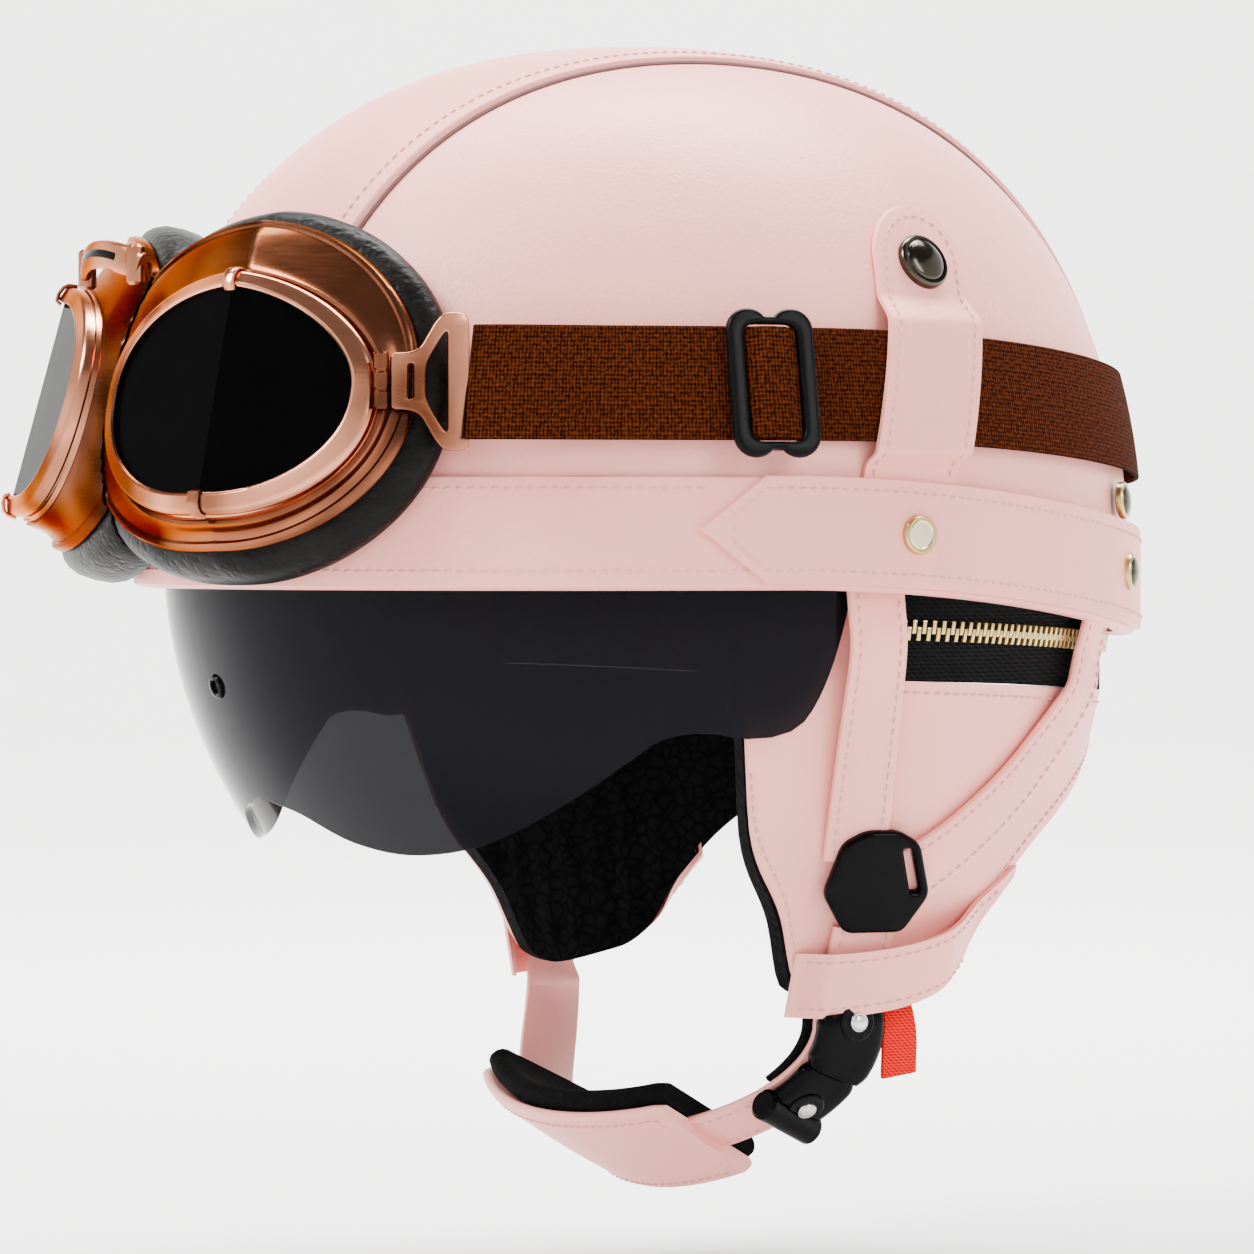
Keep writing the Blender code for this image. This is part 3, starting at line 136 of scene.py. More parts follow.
RUFFLE, RIDGE_PITCH, RIDGE_DEPTH = 0.9 * MM, 9 * MM, 1.6 * MM

# Straps, divider, belt loop and buckle
WEB_WIDTH, WEB_THICK = 17 * MM, 2.2 * MM
FRONT_STRAP_BACK, REAR_STRAP_TURN = 5 * MM, 130
DIVIDER_TURN, DIVIDER_LEVEL = 98, -77 * MM
DIVIDER_WIDTH, DIVIDER_HEIGHT, DIVIDER_THICK = 29 * MM, 28 * MM, 4 * MM
BELT_HEIGHT, BELT_RISE, BELT_THICK = 17 * MM, 6.8 * MM, LEATHER + 0.4 * MM
BELT_FRONT_TURN, BELT_BACK_TURN = 90.5, 125
BELT_FRONT_LEVEL, BELT_BACK_LEVEL = -104.5 * MM, -78 * MM
LOOP_HALF_WIDTH, LOOP_TOP, LOOP_BOTTOM = 77 * MM, -114 * MM, -152 * MM
LOOP_SIDE_BACK, LOOP_CHIN_FORWARD, LOOP_TILT = 16 * MM, 14 * MM, 32
CUP_START, CUP_END = 56, 127
CUP_WIDTH, CUP_THICK, CHIN_PAD_THICK = 40 * MM, 3 * MM, 6 * MM
BUCKLE_START, BUCKLE_END = -3, 36
CASE_WIDTH, CASE_THICK, TONGUE_WIDTH, TONGUE_THICK = 20 * MM, 6 * MM, 19 * MM, 5 * MM
RELEASE_LENGTH, RELEASE_WIDTH = 23 * MM, 11 * MM
LOOSE = 0.5 * MM

# Studio
CAMERA_TURN, CAMERA_RISE, CAMERA_AWAY = 60, 1, 1.4
CAMERA_LENS, CAMERA_SENSOR = 148, 36
TARGET = Vector((-0.00175, -0.00303, -0.0127))
FLOOR_LEVEL = -0.192
SKY_COLOUR, SKY_STRENGTH = (1.0, 0.99, 0.98), 0.24
LAMPS = (
    ("key_light", (-0.2, -1.9, 1.9), (1.0, 1.0), 140, TARGET),
    ("side_light", (2.1, 0.5, 1.1), (0.9, 1.4), 34, TARGET),
    ("top_light", (-0.3, 0.9, 2.1), (1.6, 1.2), 76, TARGET),
    ("backdrop_light", (-0.6, 0.35, 1.9), (1.6, 1.6), 245, (-2.6, 1.5, -0.1)),
)

# Stitches and zip teeth
ZIP_PITCH = 2.7 * MM
CURTAIN_TOP_AT = 24 * MM
STITCH_PITCH, STITCH_LENGTH, THREAD_RADIUS = 3 * MM, 2.1 * MM, 0.28 * MM
STITCH_INSET = 3.2 * MM


# Numbers and points

def smooth(low, high, value):
    share = min(1.0, max(0.0, (value - low) / (high - low)))
    return share * share * (3 - 2 * share)


def mix(low, high, share):
    return low + (high - low) * share


def steps(low, high, count):
    return [mix(low, high, k / count) for k in range(count + 1)]


def read_table(table, value):
    """The second column at a value of the first, on a smooth curve through the rows."""
    if value <= table[0][0]:
        return table[0][1]
    if value >= table[-1][0]:
        return table[-1][1]
    for k in range(len(table) - 1):
        (x0, y0), (x1, y1) = table[k], table[k + 1]
        if x0 <= value <= x1:
            break
    slope = (y1 - y0) / (x1 - x0)
    slopes = []
    for at in (k, k + 1):
        if 0 < at < len(table) - 1:
            before = (table[at][1] - table[at - 1][1]) / (table[at][0] - table[at - 1][0])
            after = (table[at + 1][1] - table[at][1]) / (table[at + 1][0] - table[at][0])
            slopes.append(0.0 if before * after <= 0 else 2 * before * after / (before + after))
        else:
            slopes.append(slope)
    t, span = (value - x0) / (x1 - x0), x1 - x0
    return ((2 * t**3 - 3 * t**2 + 1) * y0 + (t**3 - 2 * t**2 + t) * span * slopes[0]
            + (3 * t**2 - 2 * t**3) * y1 + (t**3 - t**2) * span * slopes[1])


def mirrored(points, side):
    return [Vector((p.x * side, p.y, p.z)) for p in points]


def turn_off_front(turn):
    return abs((turn + 180) % 360 - 180)


# The helmet's surfaces

def rim_level(turn):
    return -REAR_DROP * smooth(DROP_STARTS, DROP_ENDS, turn_off_front(turn))


def spread_at(level, height):
    return (1 - min(1.0, max(level, 0) / height) ** SHELL_FULLNESS) ** (1 / SHELL_FULLNESS)


def shell_point(turn, level, offset=0.0):
    share = spread_at(level, SHELL_HEIGHT + offset)
    angle = math.radians(turn)
    return Vector((
        (SHELL_HALF_WIDTH + offset) * share * math.sin(angle),
        -(SHELL_HALF_LENGTH + offset) * share * math.cos(angle),
        level,
    ))


def panel_point(across, angle, offset):
    width = SHELL_HALF_WIDTH + offset
    height = (SHELL_HEIGHT + offset) * (1 - (abs(across) / width) ** SHELL_FULLNESS) ** (1 / SHELL_FULLNESS)
    level = height * math.sin(math.radians(angle)) ** (2 / SHELL_FULLNESS)
    share = spread_at(level, SHELL_HEIGHT + offset)
    forward = (SHELL_HALF_LENGTH + offset) * math.sqrt(max(0.0, share**2 - (across / width) ** 2))
    return Vector((across, -forward if angle <= 90 else forward, level))


def panel_angle(across, level, offset):
    width = SHELL_HALF_WIDTH + offset
    height = (SHELL_HEIGHT + offset) * (1 - (abs(across) / width) ** SHELL_FULLNESS) ** (1 / SHELL_FULLNESS)
    return math.degrees(math.asin((level / height) ** (SHELL_FULLNESS / 2)))


def zip_level(turn):
    return -ZIP_BELOW_RIM + 0.45 * rim_level(turn)


def tape_bottom(turn):
    return zip_level(turn) - TAPE_BELOW


def curtain_point(turn, level, offset=0.0):
    off = turn_off_front(turn)
    below = max(0.0, tape_bottom(turn) - level)
    inset = FLAP_INSET * (1 - smooth(87, 106, off)) + TAPE_INSET * smooth(-2 * MM, -22 * MM, level)
    start = SHELL_WALL + TOUCH + CURTAIN_ROOM + inset
    half_width = SHELL_HALF_WIDTH - start - CURTAIN_TAPER_SIDE * below + offset
    half_length = SHELL_HALF_LENGTH - start - CURTAIN_TAPER_BACK * below + offset
    angle = math.radians(turn)
    return Vector((half_width * math.sin(angle), -half_length * math.cos(angle), level))


def surface_normal(surface, turn, level, offset=0.0):
    step_turn, step_level = 0.5, 0.5 * MM
    round_it = surface(turn + step_turn, level, offset) - surface(turn - step_turn, level, offset)
    up = surface(turn, level + step_level, offset) - surface(turn, level - step_level, offset)
    return round_it.cross(up).normalized()


def curtain_top(turn):
    return mix(-5 * MM, tape_bottom(turn) - TOUCH, smooth(ZIP_START - 6, ZIP_START - 1, turn_off_front(turn)))


def curtain_bottom(turn):
    return -FLAP_DEPTH * read_table(CURTAIN_EDGE, turn_off_front(turn))


def strap_level(turn):
    return STRAP_LEVEL - STRAP_REAR_FALL * smooth(85, 175, turn_off_front(turn))


def strap_stand(turn):
    return mix(HOOK_STAND, STRAP_OFFSET, smooth(STRAP_TURN, STRAP_DOWN, turn_off_front(turn)))


def tab_offset(level):
    low = strap_level(TAB_TURN) - STRAP_HEIGHT / 2
    high = strap_level(TAB_TURN) + STRAP_HEIGHT / 2
    over = smooth(low - 6 * MM, low - 2 * MM, level) * (1 - smooth(high + 2 * MM, high + 10 * MM, level))
    return mix(TOUCH, STRAP_OFFSET + STRAP_THICK + FACET, over)


def loop_point(degrees):
    angle = math.radians(degrees)
    return Vector((
        LOOP_HALF_WIDTH * math.cos(angle),
        LOOP_SIDE_BACK - (LOOP_SIDE_BACK + LOOP_CHIN_FORWARD) * math.sin(angle) ** 2,
        LOOP_TOP + (LOOP_BOTTOM - LOOP_TOP) * math.sin(angle),
    ))


def loop_frame(degrees):
    """Point, along, outward and across at a place on the chin loop."""
    point = loop_point(degrees)
    along = (loop_point(degrees + 1) - loop_point(degrees - 1)).normalized()
    across = Vector((0, 1, 0))
    across = (across - along * across.dot(along)).normalized()
    tilt = math.radians(LOOP_TILT) * math.sin(math.radians(min(180, max(0, degrees)))) ** 2
    out = across.cross(along)
    if out.dot(Vector((point.x, 0, -0.5))) < 0:
        out = -out
    leaned = across * math.cos(tilt) + out * math.sin(tilt)
    out = out * math.cos(tilt) - across * math.sin(tilt)
    return point, along, out, leaned


# Materials

class Wire:
    """A value running through a material, with arithmetic."""

    def __init__(self, finish, socket):
        self.finish = finish
        self.socket = socket

    def sum(self, operation, other):
        return self.finish.node("ShaderNodeMath", {"operation": operation}, inputs={0: self, 1: other})

    def __add__(self, other):
        return self.sum("ADD", other)

    def __mul__(self, other):
        return self.sum("MULTIPLY", other)

    def between(self, low, high):
        """0 below low, 1 above high, smooth in the middle."""
        return self.finish.node("ShaderNodeMapRange", {"interpolation_type": "SMOOTHSTEP", "clamp": True},
                                inputs={"Value": self, "From Min": low, "From Max": high})


class Finish:
    """A material under construction."""

    def __init__(self, name, **surface):
        self.made = bpy.data.materials.new(name)
        self.made.use_nodes = True
        self.tree = self.made.node_tree
        self.shader = self.tree.nodes["Principled BSDF"]
        for key, value in surface.items():
            self.set(key.replace("_", " ").title(), value)

    def set(self, name, value):
        socket = self.shader.inputs[name]
        if isinstance(value, Wire):
            self.tree.links.new(value.socket, socket)
        elif isinstance(value, tuple):
            socket.default_value = (*value, 1)
        else:
            socket.default_value = value

    def node(self, kind, settings=None, inputs=None, out=0):
        """Adds any node: its settings first, then values or links by socket name or number."""
        made = self.tree.nodes.new(kind)
        for key, value in (settings or {}).items():
            if key == "stops":
                ramp = made.color_ramp
                while len(ramp.elements) < len(value):
                    ramp.elements.new(0.5)
                for element, (place, colour) in zip(ramp.elements, value):
                    element.position = place
                    element.color = (*colour, 1)
            else:
                setattr(made, key, value)
        for key, value in (inputs or {}).items():
            if isinstance(value, Wire):
                self.tree.links.new(value.socket, made.inputs[key])
            else:
                made.inputs[key].default_value = value
        return Wire(self, made.outputs[out])

    def place(self, stretch=(1, 1, 1), kind="Object"):
        """Object or UV coordinates, stretched by three factors."""
        coordinates = self.node("ShaderNodeTexCoord", out=kind)
        return self.node("ShaderNodeMapping", inputs={"Vector": coordinates, "Scale": stretch})

    def noise(self, scale, detail=3, rough=0.5, stretch=(1, 1, 1), kind="Object"):
        return self.node("ShaderNodeTexNoise", inputs={
            "Vector": self.place(stretch, kind), "Scale": scale, "Detail": detail, "Roughness": rough})

    def cells(self, scale, feature="F1", stretch=(1, 1, 1), kind="Object"):
        return self.node("ShaderNodeTexVoronoi", {"feature": feature}, inputs={
            "Vector": self.place(stretch, kind), "Scale": scale})

    def bands(self, direction, scale, distortion, detail=1.0, kind="Object"):
        settings = {"wave_type": "BANDS", "bands_direction": direction}
        inputs = {"Vector": self.place(kind=kind), "Scale": float(scale)}
        inputs |= {"Distortion": distortion, "Detail": detail}
        return self.node("ShaderNodeTexWave", settings, inputs)

    def blend(self, share, one, other):
        """A colour between two colours."""
        inputs = {0: share, 6: one if isinstance(one, Wire) else (*one, 1),
                  7: other if isinstance(other, Wire) else (*other, 1)}
        return self.node("ShaderNodeMix", {"data_type": "RGBA"}, inputs=inputs, out=2)

    def relief(self, height, depth, strength=1.0):
        """Bumps of a depth in metres."""
        self.set("Normal", self.node("ShaderNodeBump", inputs={
            "Height": height, "Distance": depth, "Strength": strength}))


def pink_leather(name, colour):
    made = Finish(name, roughness=0.45)
    made.set("Specular IOR Level", 0.4)
    cloud = made.noise(9, 4).between(0.3, 0.7)
    shade = tuple(c * 0.93 for c in colour)
    made.set("Base Color", made.blend(cloud, colour, shade))
    pores = made.cells(620).between(0.05, 0.6)
    creases = made.noise(160, 5, 0.6)
    swell = made.noise(34, 2)
    made.set("Roughness", creases * 0.12 + 0.37)
    made.relief(pores * 0.35 + creases * 0.5 + swell * 1.2, 0.28 * MM, 0.55)
    return made.made


def black_leather():
    made = Finish("black_leather", roughness=0.42)
    made.set("IOR", 1.17)
    made.set("Base Color", made.blend(made.noise(60, 4).between(0.3, 0.7), (0.005, 0.0045, 0.004),
                                      (0.002, 0.0018, 0.0018)))
    wrinkle = made.noise(75, 4, 0.6, (1, 1, 2.2))
    pores = made.cells(420).between(0.05, 0.5)
    made.set("Roughness", wrinkle * 0.25 + 0.3)
    made.relief(wrinkle * 2.4 + pores * 0.4, 0.5 * MM, 0.6)
    return made.made


def copper(name, light, dark, roughness):
    """Rose-copper plating with darker patches, partly antiquing and partly painted dark reflection."""
    made = Finish(name, metallic=1.0)
    made.set("Specular Tint", (0.72, 0.40, 0.28))
    # Mask for the darker colour: partly antiquing, partly painted dark reflection of the surroundings.
    patina_and_dark_reflection = made.noise(24, 2, 0.5).between(0.36, 0.62)
    made.set("Base Color", made.blend(patina_and_dark_reflection, light, dark))
    hairs = made.noise(140, 3, 0.6, (1, 1, 9))
    made.set("Roughness", hairs * 0.12 + patina_and_dark_reflection * 0.08 + roughness)
    made.relief(hairs, 0.05 * MM, 0.3)
    return made.made


def plain(name, colour, roughness, metallic=0.0, grain=0.0, scale=500, gloss=1.5):
    made = Finish(name, roughness=roughness, metallic=metallic)
    made.set("Base Color", colour)
    made.set("IOR", gloss)
    if grain:
        made.relief(made.noise(scale, 3), grain * MM, 0.6)
    return made.made


def knitted_elastic():
    """Rust-brown elastic: fine ribs along it, crossed by the knit."""
    made = Finish("brown_elastic", roughness=0.9)
    along = made.bands("Y", 290, 1.5, kind="UV")
    knit = made.bands("X", 360, 3.0, 1.5, "UV")
    made.set("IOR", 1.08)
    fleck = made.noise(900, 2, kind="UV").between(0.35, 0.65)
    height = along * 0.6 + knit * 0.7
    # The colour follows the knit's relief, darker in its hollows as painted shade, with random flecks mixed
    # in.
    made.set("Base Color", made.blend((height * 0.5 + fleck * 0.4).between(0.15, 0.95),
                                      (0.007, 0.0012, 0.0004), (0.075, 0.0155, 0.004)))
    made.relief(height, 0.35 * MM, 0.9)
    return made.made


def woven(name, light, dark, scale, depth=0.3):
    made = Finish(name, roughness=0.92)
    made.set("IOR", 1.12)
    height = made.bands("DIAGONAL", scale, 0.6) * 0.6 + made.bands("Z", scale, 0.6) * 0.6
    # The colour follows the weave's relief, darker in its low parts: painted shade between the threads.
    made.set("Base Color", made.blend(height.between(0.2, 1.0), dark, light))
    made.relief(height, depth * MM, 0.8)
    return made.made


def quilted_lining():
    """Black mesh cloth, embossed with small cells."""
    made = Finish("black_lining", roughness=0.9)
    made.set("IOR", 1.12)
    cell = made.cells(270, "DISTANCE_TO_EDGE").between(0.02, 0.2)
    weave = made.noise(1300, 2)
    # Darker along the cells' sunken edges: painted shade in the grooves between cells.
    made.set("Base Color", made.blend(cell, (0.003, 0.003, 0.003), (0.006, 0.006, 0.0063)))
    made.relief(cell + weave * 0.4, 0.2 * MM, 0.5)
    return made.made


def smoke_shield():
    made = Finish("smoke_visor", roughness=0.04)
    made.set("IOR", 1.14)
    made.set("Base Color", (0.003, 0.0025, 0.0045))
    made.set("Alpha", 0.9)
    return made.made


FINISHES = {
    "shell_leather": pink_leather("shell_leather", (0.90, 0.36, 0.315)),
    "pink_leather": pink_leather("pink_leather", (0.88, 0.34, 0.295)),
    "black_leather": black_leather(),
    "bright_copper": copper("bright_copper", (0.68, 0.28, 0.165), (0.12, 0.040, 0.018), 0.12),
    "dark_copper": copper("dark_copper", (0.25, 0.085, 0.042), (0.020, 0.007, 0.004), 0.14),
    "brown_elastic": knitted_elastic(),
    "zip_cloth": woven("zip_cloth", (0.008, 0.008, 0.0085), (0.002, 0.002, 0.002), 300),
    "ribbon": woven("red_ribbon", (0.72, 0.008, 0.008), (0.36, 0.002, 0.002), 420, 0.25),
    "black_lining": quilted_lining(),
    "fleece": plain("black_fleece", (0.004, 0.004, 0.004), 1.0, grain=0.9, scale=700, gloss=1.1),
    "black_satin": plain("black_satin", (0.003, 0.003, 0.0033), 0.26, gloss=1.14),
    "gloss_black": plain("gloss_black", (0.001, 0.001, 0.0011), 0.12, gloss=1.14),
    "dark_lens": plain("dark_lens", (0.001, 0.001, 0.0012), 0.04, gloss=1.05),
    "dark_metal": plain("dark_metal", (0.055, 0.048, 0.037), 0.16, 1.0),
    "brass": plain("antique_brass", (0.55, 0.40, 0.17), 0.28, 1.0),
    "pale_brass": plain("pale_brass", (0.80, 0.72, 0.50), 0.3, 1.0),
    "steel": plain("buckle_steel", (0.62, 0.60, 0.58), 0.22, 1.0),
    "thread": plain("rose_thread", (0.66, 0.32, 0.29), 0.75),
    "seam": plain("seam_shadow", (0.12, 0.05, 0.05), 0.8),
    "smoke_visor": smoke_shield(),
}


# Making pieces

def in_scene(name, data):
    """A new object in the scene that shows the data."""
    made = bpy.data.objects.new(name, data)
    bpy.context.scene.collection.objects.link(made)
    return made


def as_mesh(drawn):
    """The mesh that an object shows, modifiers and all; the object itself is taken out."""
    mesh = bpy.data.meshes.new_from_object(drawn.evaluated_get(bpy.context.evaluated_depsgraph_get()))
    bpy.data.objects.remove(drawn)
    return mesh


def add_piece(name, mesh_data, finish, body="helmet", replaces=(), slot=None, bevel=0.0, angle=35):
    """A finished piece from a bmesh: doubles merged, normals outward, edges eased, riding on its body."""
    bmesh.ops.remove_doubles(mesh_data, verts=mesh_data.verts, dist=0.002 * MM)
    bmesh.ops.recalc_face_normals(mesh_data, faces=mesh_data.faces)
    mesh = bpy.data.meshes.new(name)
    mesh_data.to_mesh(mesh)
    mesh_data.free()
    mesh.materials.append(FINISHES[finish])
    mesh.shade_smooth()
    mesh.set_sharp_from_angle(angle=math.radians(angle))
    made = in_scene(name, mesh)
    if bevel:
        ease = made.modifiers.new("eased_edges", "BEVEL")
        ease.width = bevel
        ease.segments = 2
        ease.limit_method = "ANGLE"
        ease.angle_limit = math.radians(40)
        ease.harden_normals = True
    return settle(made, body, replaces)


def leather_piece(name, shape, node, **facts):
    add_piece(name, shape, "pink_leather", replaces=[node], slot="pink_leather", **facts)


def settle(made, body="helmet", replaces=()):
    """Says what the piece rides on and hides the parts it stands for."""
    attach(made, body)
    if replaces:
        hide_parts(*replaces)
    return made


def join_rings(shape, rings, wrap=False):
    """Faces from each ring of corners to the next; a ring of one corner is a point."""
    pairs = list(zip(rings, rings[1:]))
    if wrap:
        pairs.append((rings[-1], rings[0]))
    for one, other in pairs:
        count = max(len(one), len(other))
        for k in range(count):
            beside = (k + 1) % count
            near = (one[k], one[beside]) if len(one) > 1 else (one[0],)
            far = (other[beside], other[k]) if len(other) > 1 else (other[0],)
            shape.faces.new((*near, *far))


def cap_ends(shape, rings):
    for end in (rings[0], rings[-1]):
        if len(end) > 1:
            shape.faces.new(end)


def circle(radius, height, count):
    """Points round Z at a height, or one point where the radius is 0."""
    if radius == 0:
        return [Vector((0, 0, height))]
    angles = [math.tau * k / count for k in range(count)]
    return [Vector((radius * math.cos(a), radius * math.sin(a), height)) for a in angles]


def grid_bmesh(outer, inner, wrap=False, uv=False):
    """A wall between two grids of points."""
    shape = bmesh.new()
    layer = shape.loops.layers.uv.new("UVMap") if uv else None
    columns = len(outer[0])
    last = columns if wrap else columns - 1
    lengths = [0.0]
    middle = outer[len(outer) // 2]
    for k in range(1, columns + 1):
        lengths.append(lengths[-1] + (middle[k % columns] - middle[k - 1]).length)
    heights = [0.0]
    for k in range(1, len(outer)):
        heights.append(heights[-1] + (outer[k][columns // 2] - outer[k - 1][columns // 2]).length)

    def face(corners, places):
        made = shape.faces.new(corners)
        if layer:
            for loop, place in zip(made.loops, places):
                loop[layer].uv = place

    grids = [[[shape.verts.new(p) for p in row] for row in grid] for grid in (outer, inner)]
    for grid in grids:
        for row in range(len(grid) - 1):
            for column in range(last):
                beside = (column + 1) % columns
                face((grid[row][column], grid[row][beside], grid[row + 1][beside], grid[row + 1][column]),
                     ((lengths[column], heights[row]), (lengths[column + 1], heights[row]),
                      (lengths[column + 1], heights[row + 1]), (lengths[column], heights[row + 1])))
    front, back = grids
    for one, other in ((front[0], back[0]), (front[-1], back[-1])):
        for column in range(last):
            beside = (column + 1) % columns
            if (one[column].co - one[beside].co).length > 1e-7:
                shape.faces.new((one[column], one[beside], other[beside], other[column]))
    if not wrap:
        for column in (0, -1):
            for row in range(len(front) - 1):
                shape.faces.new((front[row][column], front[row + 1][column],
                                 back[row + 1][column], back[row][column]))
    return shape


def loft_bmesh(sections, closed=False, uv=False):
    """Cross-sections joined in order; closed joins the last to the first, else the ends are capped."""
    shape = bmesh.new()
    layer = shape.loops.layers.uv.new("UVMap") if uv else None
    rings = [[shape.verts.new(p) for p in section] for section in sections]
    count = len(rings[0])
    around = [0.0]
    for k in range(count):
        around.append(around[-1] + (sections[0][(k + 1) % count] - sections[0][k]).length)
    along = [0.0]
    for one, other in zip(sections, sections[1:] + sections[:1]):
        along.append(along[-1] + (other[0] - one[0]).length)
    pairs = list(zip(rings, rings[1:]))
    if closed:
        pairs.append((rings[-1], rings[0]))
    for number, (one, other) in enumerate(pairs):
        for k in range(count):
            beside = (k + 1) % count
            made = shape.faces.new((one[k], one[beside], other[beside], other[k]))
            if layer:
                places = ((along[number], around[k]), (along[number], around[k + 1]),
                          (along[number + 1], around[k + 1]), (along[number + 1], around[k]))
                for loop, place in zip(made.loops, places):
                    loop[layer].uv = place
    if not closed:
        cap_ends(shape, rings)
    return shape


def strap_sections(line, normals, width, thick):
    """Cross-sections of a flat strap with rounded edges."""
    sections = []
    for k, point in enumerate(line):
        along = (line[min(k + 1, len(line) - 1)] - line[max(k - 1, 0)]).normalized()
        normal = (normals[k] - along * normals[k].dot(along)).normalized()
        across = along.cross(normal)
        half, rise = width / 2, thick / 2
        section = []
        for side in (1, -1):
            for angle in (-90, -45, 0, 45, 90):
                turn = math.radians(angle)
                section.append(point + across * side * (half - rise + rise * math.cos(turn))
                               + normal * side * rise * math.sin(turn))
        sections.append(section)
    return sections


def profile_bmesh(profile, place, sides=48, ring=False, capped=True):
    """A round piece from (radius, height) rows; ring joins the last row to the first round an open middle."""
    shape = bmesh.new()
    rings = [[shape.verts.new(place @ point) for point in circle(*row, sides)] for row in profile]
    join_rings(shape, rings, ring)
    if capped and not ring:
        cap_ends(shape, rings)
    return shape


def both_edges(lower):
    """An outline or profile from its lower half, the upper half being its mirror image."""
    return [*lower, *((x, -y) for x, y in reversed(lower))]


def placed(point, normal):
    return Matrix.Translation(point) @ normal.to_track_quat("Z", "Y").to_matrix().to_4x4()


def axes_place(along, up, out, point):
    """A place at a point, with its three axes given."""
    place = Matrix((along, up, out)).transposed().to_4x4()
    place.translation = point
    return place


def plate_piece(name, outline, holes, thick, place, finish, bevel=0.0, **facts):
    """A flat plate with holes and eased edges, as a plain mesh in its place."""
    curve = bpy.data.curves.new(name, "CURVE")
    curve.dimensions = "2D"
    curve.fill_mode = "BOTH"
    curve.extrude = thick / 2 - bevel
    curve.bevel_depth = bevel
    curve.bevel_resolution = 2
    curve.offset = -bevel
    for points in (outline, *holes):
        spline = curve.splines.new("POLY")
        spline.points.add(len(points) - 1)
        spline.use_cyclic_u = True
        for target, (x, y) in zip(spline.points, points):
            target.co = (x, y, 0, 1)
    shape = bmesh.new()
    shape.from_mesh(as_mesh(in_scene(name, curve)))
    shape.transform(place)
    return add_piece(name, shape, finish, **facts)


def rounded(points, radius, corner_steps=5):
    """The outline with its corners rounded off."""
    made = []
    count = len(points)
    for k, corner in enumerate(points):
        corner = Vector(corner)
        one = Vector(points[k - 1]) - corner
        other = Vector(points[(k + 1) % count]) - corner
        cut = min(radius, one.length * 0.45, other.length * 0.45)
        start, end = corner + one.normalized() * cut, corner + other.normalized() * cut
        for share in steps(0, 1, corner_steps):
            made.append(tuple(start.lerp(corner, share).lerp(corner.lerp(end, share), share)))
    return made


# Stitching, gathered as lines and sewn at the end

STITCH_LINES = []


def shell_up(point):
    """The outward direction at a point on the helmet's leather."""
    across, forward = point.x / SHELL_HALF_WIDTH, point.y / SHELL_HALF_LENGTH
    if point.z < -CURTAIN_TOP_AT:
        lean = CURTAIN_TAPER_SIDE * abs(across) + CURTAIN_TAPER_BACK * abs(forward)
        level = Vector((across / SHELL_HALF_WIDTH, forward / SHELL_HALF_LENGTH, 0)).normalized()
        return level - Vector((0, 0, lean))
    plan = math.hypot(across, forward)
    rise = max(0.0, point.z) / SHELL_HEIGHT
    side = plan ** (SHELL_FULLNESS - 2)
    return Vector((side * across / SHELL_HALF_WIDTH, side * forward / SHELL_HALF_LENGTH,
                   rise ** (SHELL_FULLNESS - 1) / SHELL_HEIGHT)).normalized()


def stitch(points, closed=False, ups=None):
    ups = ups or [shell_up(point) for point in points]
    STITCH_LINES.append((list(zip(points, ups)), closed))


# Shell, liner and the leather on it

def dome_grid(half_width, half_length, height, turns, rows, lower_edge):
    """Rows of points from a bowl's lower edge up to its crown."""
    def dome_point(turn, share, level):
        angle = math.radians(turn)
        return Vector((half_width * share * math.sin(angle), -half_length * share * math.cos(angle), level))

    grid = [[dome_point(t, 1, lower_edge(t)) for t in turns]]
    for k in range(1, rows + 1):
        latitude = math.radians(90) * (k / rows) ** ROW_CROWDING
        level = height * math.sin(latitude) ** (2 / SHELL_FULLNESS)
        share = max(0.0, math.cos(latitude)) ** (2 / SHELL_FULLNESS) if k < rows else 0.0
        grid.append([dome_point(t, share, level) for t in turns])
    return grid


def dome_bmesh(outer, inner):
    shape = bmesh.new()
    edges = []
    for grid in (outer, inner):
        rings = [[shape.verts.new(p) for p in row] for row in grid[:-1]]
        rings.append([shape.verts.new(grid[-1][0])])
        join_rings(shape, rings)
        edges.append(rings[0])
    join_rings(shape, edges)
    return shape


def make_shell():
    turns = steps(0, 360, 180)[:-1]
    size = (SHELL_HALF_WIDTH, SHELL_HALF_LENGTH, SHELL_HEIGHT)
    grids = [dome_grid(*(reach - wall for reach in size), turns, 50, rim_level) for wall in (0, SHELL_WALL)]
    add_piece("shell", dome_bmesh(*grids), "shell_leather", replaces=["crown_shell"], slot="shell_leather")


LINER_BLOCKS = ["liner_crown", "liner_brow", "liner_nape", "liner_side_left", "liner_side_right"]


